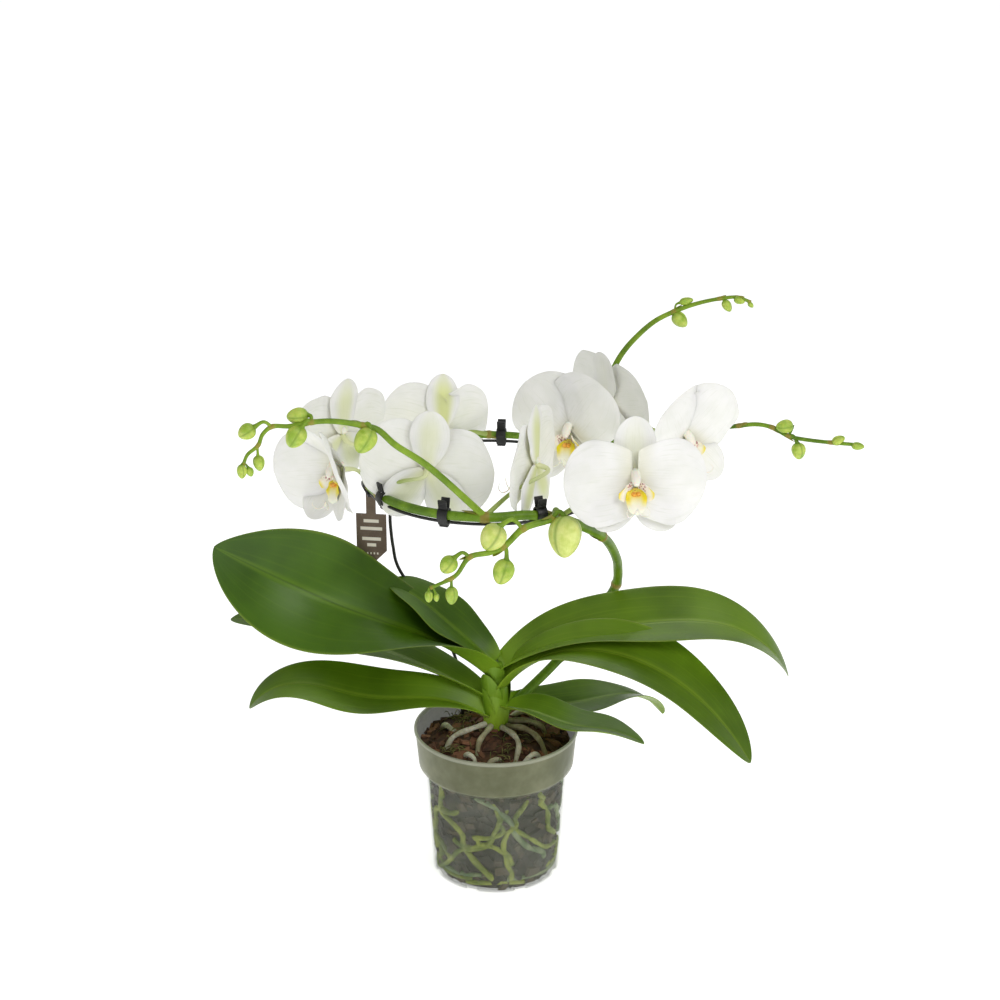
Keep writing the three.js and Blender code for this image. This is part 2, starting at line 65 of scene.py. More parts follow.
def along(values, share):
    # a smooth run through evenly spaced values
    knots = np.array([2 * values[0] - values[1], *values, 2 * values[-1] - values[-2]], float)
    place = np.clip(share, 0, 1) * (len(values) - 1)
    i = np.minimum(np.asarray(place).astype(int), len(values) - 2)
    t = place - i
    a, b, c, d = knots[i], knots[i + 1], knots[i + 2], knots[i + 3]
    return b + 0.5 * t * (c - a + t * (2 * a - 5 * b + 4 * c - d + t * (3 * (b - c) + d - a)))


def curveThrough(points, spacing=1.5 * mm):
    # a centripetal curve through the points, walked in even steps
    p = np.array(points, float)
    p = np.vstack([2 * p[0] - p[1], p, 2 * p[-1] - p[-2]])
    walked = []
    for k in range(1, len(p) - 2):
        a, b, c, d = p[k - 1:k + 3]
        before, here, after = [max(np.linalg.norm(y - x), 1e-7) ** 0.5 for x, y in ((a, b), (b, c), (c, d))]
        start = ((b - a) / before - (c - a) / (before + here) + (c - b) / here) * here
        end = ((c - b) / here - (d - b) / (here + after) + (d - c) / after) * here
        t = np.linspace(0, 1, 13)[:-1, None]
        walked.append(b + start * t + (3 * (c - b) - 2 * start - end) * t ** 2
                      + (2 * (b - c) + start + end) * t ** 3)
    path = np.vstack([*walked, p[-2:-1]])
    run = np.concatenate([[0], np.cumsum(np.linalg.norm(np.diff(path, axis=0), axis=1))])
    even = np.linspace(0, run[-1], max(4, int(run[-1] / spacing)) + 1)
    return np.stack([np.interp(even, run, path[:, k]) for k in range(3)], -1)


def addObject(name, data):
    piece = bpy.data.objects.new(name, data)
    bpy.context.scene.collection.objects.link(piece)
    return piece


def closeWork(work, mesh, looks=()):
    # writes a finished bmesh into a mesh with its materials
    work.to_mesh(mesh)
    work.free()
    for look in looks:
        mesh.materials.append(look)
    return mesh


def faceOutward(mesh, merge=0.0):
    work = bmesh.new()
    work.from_mesh(mesh)
    if merge:
        bmesh.ops.remove_doubles(work, verts=work.verts, dist=merge)
    bmesh.ops.recalc_face_normals(work, faces=work.faces)
    closeWork(work, mesh)


def addBlock(work, matrix, place, size):
    matrix = matrix @ Matrix.Translation(place) @ Matrix.Diagonal((*size, 1))
    bmesh.ops.create_cube(work, size=1, matrix=matrix)


def placesOf(mesh):
    points = np.empty(len(mesh.vertices) * 3)
    mesh.vertices.foreach_get("co", points)
    return points.reshape(-1, 3)


def ringFaces(rows, sides, closed=False):
    # the quads between each ring of points and the next
    pairs = [(r, (r + 1) % rows) for r in range(rows if closed else rows - 1)]
    return [(r * sides + c, r * sides + (c + 1) % sides, n * sides + (c + 1) % sides, n * sides + c)
            for r, n in pairs for c in range(sides)]


class Build:
    # gathers closed skins into one mesh with a UV map, a material for each skin and two marks
    def __init__(self):
        self.points, self.faces, self.uv, self.looks = [], [], [], []
        self.under, self.tone = [], []

    def add(self, points, faces, uv, look=0, under=0.0, tone=0.0):
        start = len(self.points)
        self.points.extend(np.asarray(points).tolist())
        self.faces.extend([[start + i for i in face] for face in faces])
        self.uv.extend(np.asarray(uv).tolist())
        self.looks.extend([look] * len(faces))
        self.under.extend(np.broadcast_to(under, len(points)).tolist())
        self.tone.extend(np.broadcast_to(tone, len(points)).tolist())

    def skin(self, rings, uv, look=0, under=None, tone=0.0):
        # a closed skin over rings of points, with both ends closed
        rows, count = rings.shape[:2]
        close = lambda grid: np.vstack([grid.reshape(rows * count, -1), grid[0].mean(0), grid[-1].mean(0)])
        first, last, tail = rows * count, rows * count + 1, (rows - 1) * count
        foot = [(first, c, (c + 1) % count) for c in range(count)]
        tip = [(last, tail + (c + 1) % count, tail + c) for c in range(count)]
        side = 0.0 if under is None else close(under[..., None])[:, 0]
        self.add(close(rings), ringFaces(rows, count) + foot + tip, close(uv), look, side, tone)

    def finish(self, name, looks):
        mesh = bpy.data.meshes.new(name)
        mesh.from_pydata(self.points, [], self.faces)
        corner = np.empty(len(mesh.loops), int)
        mesh.loops.foreach_get("vertex_index", corner)
        mesh.uv_layers.new(name="UVMap").data.foreach_set("uv", np.array(self.uv)[corner].ravel())
        for key in ("under", "tone"):
            mesh.attributes.new(key, "FLOAT", "POINT").data.foreach_set("value", getattr(self, key))
        for look in looks:
            mesh.materials.append(look)
        mesh.polygons.foreach_set("material_index", self.looks)
        mesh.shade_smooth()
        faceOutward(mesh)
        return addObject(name, mesh)


def settle(piece, node):
    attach(piece, "root")
    if node:
        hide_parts(node)
    return piece


# Node trees written as plain expressions

class Wire:
    def __init__(self, sheet, socket):
        self.sheet, self.socket = sheet, socket

    def maths(self, operation, first, second=0.0):
        return self.sheet.node("ShaderNodeMath", {"operation": operation}, {0: first, 1: second})

    def output(self, name):
        return Wire(self.sheet, self.socket.node.outputs[name])

    def __abs__(self):
        return self.maths("ABSOLUTE", self)

    def sine(self):
        return self.maths("SINE", self)

    def between(self, low, high):
        return self.sheet.node("ShaderNodeMapRange", {"interpolation_type": "SMOOTHSTEP"},
                               {"Value": self, "From Min": low, "From Max": high})


for sign, operation in (("add", "ADD"), ("sub", "SUBTRACT"), ("mul", "MULTIPLY")):
    setattr(Wire, f"__{sign}__", lambda self, other, kind=operation: self.maths(kind, self, other))
    setattr(Wire, f"__r{sign}__", lambda self, other, kind=operation: self.maths(kind, other, self))


class Sheet:
    def __init__(self, tree):
        self.tree = tree

    def node(self, kind, settings=None, sockets=None, out=0):
        made = self.tree.nodes.new(kind)
        for key, value in (settings or {}).items():
            setattr(made, key, value)
        for key, value in (sockets or {}).items():
            wires = value if isinstance(value, list) else [value]
            for wire in wires:
                if isinstance(wire, Wire):
                    self.tree.links.new(wire.socket, made.inputs[key])
                else:
                    made.inputs[key].default_value = wire
        return Wire(self, made.outputs[out]) if len(made.outputs) else None


class Look(Sheet):
    # a material whose colour, roughness and bump are written as expressions
    names = {
        "colour": "Base Color", "roughness": "Roughness", "alpha": "Alpha", "normal": "Normal",
        "specular": "Specular IOR Level", "sheen": "Sheen Weight",
        "glow": "Emission Strength", "glowColour": "Emission Color",
        "flesh": "Subsurface Weight", "fleshDepth": "Subsurface Scale", "fleshTint": "Subsurface Radius",
    }

    def __init__(self, name):
        self.material = bpy.data.materials.new(name)
        self.material.use_nodes = True
        self.material.node_tree.nodes.clear()
        super().__init__(self.material.node_tree)
        self.place = self.node("ShaderNodeTexCoord").output("Object")

    def split(self, vector):
        parts = self.node("ShaderNodeSeparateXYZ", {}, {0: vector})
        return parts.output("X"), parts.output("Y"), parts.output("Z")

    def uv(self):
        return self.split(self.node("ShaderNodeUVMap", {"uv_map": "UVMap"}))[:2]

    def mark(self, name):
        return self.node("ShaderNodeAttribute", {"attribute_name": name}).output("Fac")

    def join(self, x, y, z):
        return self.node("ShaderNodeCombineXYZ", {}, {0: x, 1: y, 2: z})

    def noise(self, scale, detail=2.0, rough=0.5, place=None):
        return self.node("ShaderNodeTexNoise", {}, {
            "Vector": place or self.place, "Scale": scale, "Detail": detail, "Roughness": rough})

    def cells(self, scale, place=None):
        return self.node("ShaderNodeTexVoronoi", {}, {"Vector": place or self.place, "Scale": scale})

    def mix(self, share, first, second):
        first, second = [colour(*end) if isinstance(end, tuple) else end for end in (first, second)]
        return self.node("ShaderNodeMix", {"data_type": "RGBA"}, {0: share, 6: first, 7: second}, out=2)

    def bump(self, height, distance, strength=1.0):
        return self.node("ShaderNodeBump", {}, {"Height": height, "Distance": distance, "Strength": strength})

    def finish(self, **values):
        shader = self.node("ShaderNodeBsdfPrincipled", {}, {self.names[k]: v for k, v in values.items()})
        self.node("ShaderNodeOutputMaterial", {}, {0: shader})
        return self.material


# Camera, light and floor

view = {"aim": (0.0029, 0, 0.2904), "distance": 1.409, "pitch": 20.56, "lens": 72, "sensor": 36}
tilt = math.radians(view["pitch"])
camera = addObject("camera", bpy.data.cameras.new("camera"))
camera.data.lens = view["lens"]
camera.data.sensor_width = view["sensor"]
camera.location = Vector(view["aim"]) - view["distance"] * Vector((0, math.cos(tilt), -math.sin(tilt)))
camera.rotation_euler = (math.radians(90) - tilt, 0, 0)
bpy.context.scene.camera = camera

studio = {
    "sky": 0.39,
    "floorGlow": 0.66,
    "floorRadius": 60,
    "lamps": [  # place, size, watts
        ((0.75, -1.15, 1.45), 0.8, 10.5),
        ((-1.2, -0.8, 1.0), 1.2, 1.5),
        ((0.1, 1.1, 1.3), 1.2, 4),
    ],
}
world = bpy.data.worlds.new("studio")
world.use_nodes = True
world.node_tree.nodes["Background"].inputs["Color"].default_value = (1, 1, 1, 1)
world.node_tree.nodes["Background"].inputs["Strength"].default_value = studio["sky"]
bpy.context.scene.world = world
bpy.context.scene.view_settings.view_transform = "Standard"
for k, (place, size, watts) in enumerate(studio["lamps"]):
    lamp = addObject(f"lamp{k}", bpy.data.lights.new(f"lamp{k}", "AREA"))
    lamp.data.shape = "DISK"
    lamp.data.size = size
    lamp.data.energy = watts
    lamp.location = place
    lamp.rotation_euler = (Vector(view["aim"]) - Vector(place)).to_track_quat("-Z", "Y").to_euler()

sheet = Look("floorPaint")
floorPaint = sheet.finish(
    colour=sheet.mix(sheet.noise(3.0), (250, 250, 250), (247, 247, 247)),
    roughness=0.9, glowColour=(1, 1, 1, 1), glow=studio["floorGlow"])
work = bmesh.new()
bmesh.ops.create_circle(work, cap_ends=True, segments=64, radius=studio["floorRadius"])
floor = addObject("floor", closeWork(work, bpy.data.meshes.new("floor"), [floorPaint]))
print("camera, lamps and floor set")


# Geometry Nodes: tubes along a route, and chips strewn on a surface

def newTree(name, inputs):
    tree = bpy.data.node_groups.new(name, "GeometryNodeTree")
    tree.interface.new_socket("Geometry", in_out="INPUT", socket_type="NodeSocketGeometry")
    for key, kind, value in inputs:
        socket = tree.interface.new_socket(key, in_out="INPUT", socket_type="NodeSocket" + kind)
        if value is not None:
            socket.default_value = value
    tree.interface.new_socket("Geometry", in_out="OUTPUT", socket_type="NodeSocketGeometry")
    sheet = Sheet(tree)
    return sheet, sheet.node("NodeGroupInput")


def closeTree(sheet, geometry, look):
    whole = sheet.node("GeometryNodeRealizeInstances", {}, {"Geometry": geometry})
    dressed = sheet.node("GeometryNodeSetMaterial", {}, {"Geometry": whole, "Material": look})
    sheet.node("NodeGroupOutput", {}, {0: dressed})
    return sheet.tree


def plainMesh(piece):
    # what the modifiers make of a piece, as a mesh of its own
    made = bpy.data.meshes.new_from_object(piece.evaluated_get(bpy.context.evaluated_depsgraph_get()))
    piece.modifiers.clear()
    return made


def grow(mesh, tree, inputs):
    carrier = addObject(tree.name, mesh)
    modifier = carrier.modifiers.new(tree.name, "NODES")
    modifier.node_group = tree
    for item in tree.interface.items_tree:
        if item.in_out == "INPUT" and item.name in inputs:
            modifier[item.identifier] = inputs[item.name]
    made = plainMesh(carrier)
    bpy.data.objects.remove(carrier)
    return made


def stalkTree():
    sheet, start = newTree("roundStalk", [("sides", "Int", 8), ("look", "Material", None)])
    route = sheet.node("GeometryNodeMeshToCurve", {}, {0: start.output("Geometry")})
    share = sheet.node("GeometryNodeSplineParameter").output("Factor")
    route = sheet.node("GeometryNodeStoreNamedAttribute", {"data_type": "FLOAT", "domain": "POINT"},
                       {"Geometry": route, "Name": "along", "Value": share})
    ring = sheet.node("GeometryNodeCurvePrimitiveCircle", {}, {
        "Resolution": start.output("sides"), "Radius": 1.0})
    girth = sheet.node("GeometryNodeInputNamedAttribute", {"data_type": "FLOAT"}, {"Name": "girth"})
    tube = sheet.node("GeometryNodeCurveToMesh", {}, {
        "Curve": route, "Profile Curve": ring, "Scale": girth, "Fill Caps": True})
    return closeTree(sheet, tube, start.output("look"))


def chipTree():
    sheet, start = newTree("strewnChips", [
        ("chipSize", "Float", 0.01), ("spacing", "Float", 0.008), ("lean", "Float", 0.5), ("seed", "Int", 1),
        ("look", "Material", None)])
    chips = []
    for k in range(6):
        block = sheet.node("GeometryNodeMeshCube", {}, {
            "Size": (1, 0.45 + 0.07 * k, 0.42 - 0.04 * k), "Vertices X": 3, "Vertices Y": 3, "Vertices Z": 2})
        wobble = sheet.node("ShaderNodeTexNoise", {"noise_dimensions": "4D"}, {
            "Vector": sheet.node("GeometryNodeInputPosition"), "W": 7.3 * k, "Scale": 1.6, "Detail": 3.0})
        shift = sheet.node("ShaderNodeVectorMath", {"operation": "MULTIPLY_ADD"}, {
            0: wobble.output("Color"), 1: (0.9, 0.7, 0.5), 2: (-0.45, -0.35, -0.25)})
        chip = sheet.node("GeometryNodeSetPosition", {}, {"Geometry": block, "Offset": shift})
        chips.append(sheet.node("GeometryNodeGeometryToInstance", {}, {0: chip}))
    pile = sheet.node("GeometryNodeJoinGeometry", {}, {0: chips})
    spots = sheet.node("GeometryNodeDistributePointsOnFaces", {"distribute_method": "POISSON"}, {
        "Mesh": start.output("Geometry"), "Distance Min": start.output("spacing"), "Density Max": 60000.0,
        "Seed": start.output("seed")})
    lean = start.output("lean")
    wild = sheet.node("FunctionNodeRandomValue", {"data_type": "FLOAT_VECTOR"}, {
        0: (-1, -1, -math.pi), 1: (1, 1, math.pi), "Seed": 2})
    wild = sheet.node("ShaderNodeVectorMath", {"operation": "MULTIPLY"}, {
        0: wild, 1: sheet.node("ShaderNodeCombineXYZ", {}, {0: lean, 1: lean, 2: 1.0})})
    turn = sheet.node("FunctionNodeRotateRotation", {"rotation_space": "LOCAL"}, {
        "Rotation": spots.output("Rotation"),
        "Rotate By": sheet.node("FunctionNodeEulerToRotation", {}, {0: wild})})
    pick = sheet.node("FunctionNodeRandomValue", {"data_type": "INT"}, {
        4: 0, 5: len(chips) - 1, "Seed": 3}, out=2)
    scale, shade = [
        sheet.node("FunctionNodeRandomValue", {"data_type": "FLOAT"}, {2: low, 3: high, "Seed": seed}, out=1)
        for low, high, seed in ((0.45, 1.25, 4), (0.0, 1.0, 5))]
    laid = sheet.node("GeometryNodeInstanceOnPoints", {}, {
        "Points": spots, "Instance": pile, "Pick Instance": True, "Instance Index": pick, "Rotation": turn,
        "Scale": scale * start.output("chipSize")})
    laid = sheet.node("GeometryNodeStoreNamedAttribute", {"data_type": "FLOAT", "domain": "INSTANCE"}, {
        "Geometry": laid, "Name": "tone", "Value": shade})
    return closeTree(sheet, laid, start.output("look"))


stalks = stalkTree()
strewn = chipTree()


def routeMesh(paths):
    # each path is (points, girths) or (points, girths, tones)
    points = np.vstack([path[0] for path in paths])
    edges, start = [], 0
    for path in paths:
        edges += [(start + k, start + k + 1) for k in range(len(path[0]) - 1)]
        start += len(path[0])
    mesh = bpy.data.meshes.new("route")
    mesh.from_pydata(points.tolist(), edges, [])
    for place, key in ((1, "girth"), (2, "tone")):
        values = [np.broadcast_to((*path, 0.0)[place], len(path[0])) for path in paths]
        values = np.concatenate(values).astype(np.float32)
        mesh.attributes.new(key, "FLOAT", "POINT").data.foreach_set("value", values)
    return mesh


def addTubes(build, paths, sides, look=0):
    mesh = grow(routeMesh(paths), stalks, {"sides": sides})
    marks = {}
    for key in ("along", "tone"):
        marks[key] = np.empty(len(mesh.vertices), np.float32)
        mesh.attributes[key].data.foreach_get("value", marks[key])
    uv = np.stack([marks["along"], np.full(len(mesh.vertices), 0.5)], -1)
    faces = [list(face.vertices) for face in mesh.polygons]
    build.add(placesOf(mesh), faces, uv, look, 0.0, marks["tone"])
    bpy.data.meshes.remove(mesh)


# Leaf, petal and sepal skins

grooveReach = 1.6 * mm  # how far the midrib's groove spreads to each side


def moved(matrix, points):
    matrix = np.array(matrix)
    return np.asarray(points, float) @ matrix[:3, :3].T + matrix[:3, 3]


def bladeHalf(shape, s):
    # narrow at its foot, widest part way along, closing to a blunt tip
    widest = shape["widest"]
    back = np.clip(1 - s / widest, 0, 1)
    on = np.clip((s - widest) / (1 - widest), 0, 1)
    foot = 1 - (1 - shape.get("foot", 0.3)) * back ** shape.get("taper", 2)
    tip = (1 - on ** 2.1) ** shape.get("blunt", 0.66)
    return np.maximum(shape["width"] / 2 * np.where(s < widest, foot, tip), 0.15 * mm)


def bladeRings(shape, rows, cols):
    s = 1 - (1 - np.linspace(0, 1, rows + 1)) ** 1.35
    fine = np.linspace(0, 1, 201)

    def heading(t):
        return np.radians(along(shape["heading"], t))

    def direction(t):
        rise = np.radians(along(shape["rise"], t))
        flatWay = np.stack([np.cos(heading(t)), np.sin(heading(t))], -1) * np.cos(rise)[:, None]
        return np.column_stack([flatWay, np.sin(rise)])

    walk = direction((fine[1:] + fine[:-1]) / 2) * shape["length"] / (len(fine) - 1)
    spine = np.vstack([np.zeros(3), np.cumsum(walk, 0)]) + np.array(shape["base"])
    centre = np.stack([np.interp(s, fine, spine[:, k]) for k in range(3)], -1)
    flat = np.stack([-np.sin(heading(s)), np.cos(heading(s)), np.zeros(len(s))], -1)
    face = np.cross(direction(s), flat)
    roll = np.radians(along(shape["roll"], s))[:, None]
    side = flat * np.cos(roll) + face * np.sin(roll)
    up = face * np.cos(roll) - flat * np.sin(roll)

    across = np.sin(np.linspace(-1, 1, cols + 1) * math.pi / 2)[None, :]
    half = bladeHalf(shape, s)[:, None]
    fold = np.radians(shape["fold"][1] + (shape["fold"][0] - shape["fold"][1]) * (1 - s) ** 2)[:, None]
    soft = shape.get("soft", 0.12)
    valley = (np.sqrt(across ** 2 + soft ** 2) - soft) / (math.sqrt(1 + soft ** 2) - soft)
    lift = valley * half * np.sin(fold)
    groove = shape.get("groove", 0) * np.exp(-(across * half / grooveReach) ** 2)
    groove = groove * np.minimum(1, 6 * (1 - s))[:, None]
    waves, phase = shape.get("waves", 3), shape.get("phase", 0)
    ripple = np.sin(fullTurn * (waves * s[:, None] + phase + 0.37 * (across > 0)))
    lift = lift + shape.get("wave", 0) * ripple * across ** 4 * np.sin(math.pi * s[:, None]) ** 0.5 - groove
    cup = shape.get("cup", 0) * half * across ** 2
    thick = shape["thickness"] * np.sqrt(1 - across ** 4) * np.minimum(1, 0.35 + 3 * (1 - s))[:, None]
    middle = centre[:, None] + side[:, None] * (across * half * np.cos(fold))[..., None]
    top = middle + up[:, None] * (lift + cup + thick / 2)[..., None]
    low = middle + up[:, None] * (lift + cup - thick / 2)[..., None]
    rings = np.concatenate([top, low[:, cols - 1:0:-1]], 1)
    v = np.broadcast_to((across + 1) / 2, top.shape[:2])
    v = np.concatenate([v, v[:, cols - 1:0:-1]], 1)
    uv = np.stack([np.broadcast_to(s[:, None], v.shape), v], -1)
    under = np.repeat((0.0, 1.0), cols) * np.ones((rows + 1, 1))  # upper face 0, lower face 1, edges between
    under[:, [0, cols]] = 0.5
    return rings, uv, under


def addBlade(build, shape, rows, cols, look=0, tone=0.0, matrix=None):
    rings, uv, under = bladeRings(shape, rows, cols)
    build.skin(rings if matrix is None else moved(matrix, rings), uv, look, under, tone)


bract = {"heading": (0, 0), "rise": (9, 4), "roll": (0, 0), "widest": 0.3, "foot": 0.8, "fold": (-42, -20),
         "thickness": 0.6 * mm, "soft": 0.5}


def addBract(build, path, index, girth, turn, look, length):
    # a small scale leaf that clasps the stem at a node
    spot = path[index]
    ahead = path[min(index + 3, len(path) - 1)] - path[max(index - 3, 0)]
    ahead = ahead / np.linalg.norm(ahead)
    out = np.cross(ahead, (math.cos(turn), math.sin(turn), 0.3))
    out = out / np.linalg.norm(out)
    side = np.cross(out, ahead)
    matrix = np.vstack([np.column_stack([ahead, side, out, spot]), (0, 0, 0, 1)])
    shape = {**bract, "base": (-1.5 * mm, 0, girth * 0.82), "length": length, "width": girth * 2.3}
    addBlade(build, shape, 10, 10, look, 0.6, matrix)


# Pot

pot = {
    "wall": 1.2 * mm, "base": 47.2 * mm, "shoulder": 52.3 * mm, "band": 34 * mm, "step": 6 * mm,
    "flare": 3 * mm, "lip": 0.7 * mm, "lipDepth": 3 * mm, "lipStand": 0.3 * mm, "sides": 144,
    "notches": 8, "notchWidth": 9 * mm, "notchHeight": 4 * mm, "notchReach": 8 * mm,
}
bandFoot = potTop - pot["band"]
bandStep = bandFoot + pot["step"]  # where the wall has widened to the band


def rounded(corners):
    # an outline of (radius, height, fillet) corners, each turned by an arc
    outline = []
    for k, (r, z, fillet) in enumerate(corners):
        here = np.array((r, z))
        if not fillet:
            outline.append(here)
            continue
        arms = [np.array(corners[j][:2]) - here for j in (k - 1, k + 1)]
        arms = [arm / np.linalg.norm(arm) for arm in arms]
        half = math.acos(np.clip(arms[0] @ arms[1], -1, 1)) / 2
        inward = (arms[0] + arms[1]) / np.linalg.norm(arms[0] + arms[1])
        middle = here + inward * fillet / math.sin(half)
        ends = [here + arm * fillet / math.tan(half) for arm in arms]
        for t in np.linspace(0, 1, 5):
            spot = ends[0] * (1 - t) + ends[1] * t - middle
            outline.append(middle + spot / np.linalg.norm(spot) * fillet)
    return np.array(outline)


def turned(name, outline, sides, looks):
    # an outline turned about the pot's axis
    angles = np.arange(sides) * fullTurn / sides
    rings = np.stack([outline[:, 0, None] * np.cos(angles), outline[:, 0, None] * np.sin(angles),
                      np.broadcast_to(outline[:, 1, None], (len(outline), sides))], -1)
    mesh = bpy.data.meshes.new(name)
    mesh.from_pydata(rings.reshape(-1, 3).tolist(), [], ringFaces(len(outline), sides))
    for look in looks:
        mesh.materials.append(look)
    mesh.shade_smooth()
    faceOutward(mesh, 0.001 * mm)
    return addObject(name, mesh)


def potWallAt(z):
    # the radius of the inside of the pot's wall
    levels = [0, bandFoot, bandStep, potTop]
    radii = [pot["base"], pot["shoulder"], rimRadius - pot["flare"], rimRadius]
    return np.interp(z, levels, radii) - pot["wall"]


def potPlastic():
    sheet = Look("potPlastic")
    x, y, z = sheet.split(sheet.place)
    band = z.between(bandFoot + 1 * mm, bandStep)
    rim = z.between(potTop - 4 * mm, potTop - 2 * mm)
    cloud = sheet.noise(28.0, 4.0, 0.6)
    streak = sheet.noise(1.0, 3.0, 0.6, sheet.join(x * 140, y * 140, z * 40))
    drops = 1 - sheet.cells(520.0).between(0.08, 0.3)
    wet = drops * sheet.noise(30.0).between(0.5, 0.62) * (1 - band)
    smoke = sheet.mix(cloud.between(0.35, 0.7), (96, 102, 84), (134, 138, 124))
    frost = sheet.mix(cloud.between(0.3, 0.7), (100, 104, 70), (134, 136, 104))
    body = sheet.mix(band, smoke, frost)
    # painted highlight: the top few millimetres, the rolled lip, are painted lighter
    body = sheet.mix(rim * 0.7, body, (176, 178, 158))
    return sheet.finish(
        colour=sheet.mix(wet * 0.5, body, (215, 218, 206)),
        alpha=0.11 + 0.54 * band + 0.14 * cloud + 0.1 * rim + 0.15 * wet,
        roughness=0.12 + 0.24 * band + 0.1 * streak, specular=0.5,
        normal=sheet.bump(streak * 0.25 + cloud * 0.3 + wet, 0.25 * mm, 0.5))


def makePot():
    top, wall, rim = potTop, pot["wall"], rimRadius
    slope = (pot["shoulder"] - pot["base"]) / bandFoot
    lipFoot, lipEdge = top - pot["lipDepth"], rim + pot["lipStand"]
    outline = rounded([  # up the outside and down the inside
        (0, 0, 0), (pot["base"], 0, 1.6 * mm), (pot["shoulder"], bandFoot, 2 * mm),
        (rim - pot["flare"], bandStep, 2 * mm), (rim - pot["lip"], lipFoot, 0.3 * mm),
        (lipEdge, lipFoot + 0.6 * mm, 0.3 * mm), (lipEdge, top, 0.7 * mm),
        (rim - wall - 0.2 * mm, top, 0.4 * mm), (rim - wall - pot["flare"], bandStep + 0.3 * mm, 1 * mm),
        (pot["shoulder"] - wall, bandFoot + 0.6 * mm, 1 * mm),
        (pot["base"] + slope * 2 * mm - wall, wall, 1 * mm), (0, wall, 0),
    ])
    piece = turned("pot_fine", outline, pot["sides"], [potPlastic()])
    cutter = bmesh.new()
    for k in range(pot["notches"]):
        turn = Matrix.Rotation((k + 0.5) * fullTurn / pot["notches"], 4, "Z")
        size = (pot["notchReach"], pot["notchWidth"], 2 * pot["notchHeight"])
        addBlock(cutter, turn, (pot["base"] + mm, 0, 0), size)
    notches = addObject("notches", closeWork(cutter, bpy.data.meshes.new("notches")))
    cut = piece.modifiers.new("notches", "BOOLEAN")
    cut.object = notches
    cut.operation = "DIFFERENCE"
    cut.solver = "EXACT"
    piece.data = plainMesh(piece)
    bpy.data.objects.remove(notches)
    settle(piece, "pot")


makePot()
print("pot made")


# Potting mix: a core, bark chips, moss and the roots against the wall

mix = {
    "mound": 12 * mm, "coreGap": 3.4 * mm, "coreFoot": 1.7 * mm, "edgeDrop": 3 * mm, "sides": 48, "seed": 11,
    "topChip": 9.5 * mm, "topSpacing": 5.2 * mm, "wallChip": 9 * mm, "wallSpacing": 5.6 * mm,
    "mossStrands": 230, "mossCushions": 9, "mossReach": 36 * mm, "mossSpread": 6 * mm,
}


def barkLook():
    sheet = Look("bark")
    tone = sheet.mark("tone")
    grain = sheet.noise(160.0, 5.0, 0.65)
    patch = sheet.noise(55.0, 2.0)
    height = sheet.split(sheet.place)[2].between(mixLevel - 6 * mm, mixLevel)
    warm = sheet.mix(grain.between(0.3, 0.7), (50, 33, 24), (98, 66, 47))
    cool = sheet.mix(grain.between(0.3, 0.7), (46, 42, 40), (84, 76, 72))
    dark = sheet.mix(height, cool, warm)
    light = sheet.mix(height, (104, 92, 78), (136, 94, 68))
    chip = sheet.mix(tone.between(0.35, 0.9), dark, light)
    chip = sheet.mix(patch.between(0.6, 0.75) * 0.5, chip, (92, 92, 58))
    return sheet.finish(colour=chip, roughness=0.72 + 0.2 * grain, specular=0.35,
                        normal=sheet.bump(grain + patch * 0.5, 0.8 * mm, 0.8))


def mossLook():
    sheet = Look("moss")
    tone = sheet.mark("tone")
    fleck = sheet.noise(240.0, 3.0)
    green = sheet.mix(tone, (74, 82, 34), (140, 138, 78))
    return sheet.finish(colour=sheet.mix(fleck * 0.4, green, (92, 74, 44)), roughness=0.9,
                        normal=sheet.bump(fleck, 0.3 * mm, 0.6))


def wallRootLook():
    sheet = Look("wallRoot")
    tone = sheet.mark("tone")
    cloud = sheet.noise(70.0, 4.0, 0.6)
    speck = sheet.noise(600.0, 2.0)
    green = sheet.mix(cloud.between(0.35, 0.65), (104, 124, 34), (172, 184, 78))
    grey = sheet.mix(cloud.between(0.35, 0.65), (94, 122, 72), (160, 174, 130))
    return sheet.finish(colour=sheet.mix(tone.between(0.45, 0.55), green, grey), roughness=0.5 + 0.2 * speck,
                        normal=sheet.bump(cloud + speck * 0.3, 0.5 * mm, 0.6))


def keepInside(mesh):
    # chips that would break through the wall lie flat against it
    points = placesOf(mesh)
    reach = np.hypot(points[:, 0], points[:, 1])
    limit = potWallAt(points[:, 2]) - touchGap
    points[:, :2] *= np.minimum(1, limit / reach)[:, None]
    points[:, 2] = np.maximum(points[:, 2], pot["wall"] + touchGap)
    mesh.vertices.foreach_set("co", points.ravel())


def makeMix():
    bark = barkLook()
    levels = [mix["coreFoot"], 30 * mm, bandFoot, bandStep, mixLevel - mix["edgeDrop"]]
    wall = [(potWallAt(z) - mix["coreGap"], z) for z in levels]
    edge, edgeLevel = wall[-1]
    mound = [(edge * share, mixLevel - 2.5 * mm + mix["mound"] * rise)
             for share, rise in ((0.7, 0.3), (0.4, 0.8), (0.2, 0.95), (0, 1))]
    core = turned("potting_mix_fine", np.array([(0, mix["coreFoot"]), *wall, *mound]), mix["sides"], [bark])
    settle(core, "potting_mix")

    surfaces = [
        ("bark_chips_top", [(edge + 1.2 * mm, edgeLevel), *mound], mix["topChip"], mix["topSpacing"], 0.5, 1),
        ("bark_chips_side", wall, mix["wallChip"], mix["wallSpacing"], 0.16, 2),
    ]
    for name, outline, size, spacing, lean, seed in surfaces:
        ground = turned("ground", np.array(outline), mix["sides"], [])
        mesh = grow(ground.data.copy(), strewn, {
            "chipSize": size, "spacing": spacing, "lean": lean, "seed": seed + mix["seed"], "look": bark})
        bpy.data.objects.remove(ground)
        keepInside(mesh)
        settle(addObject(name, mesh), None)


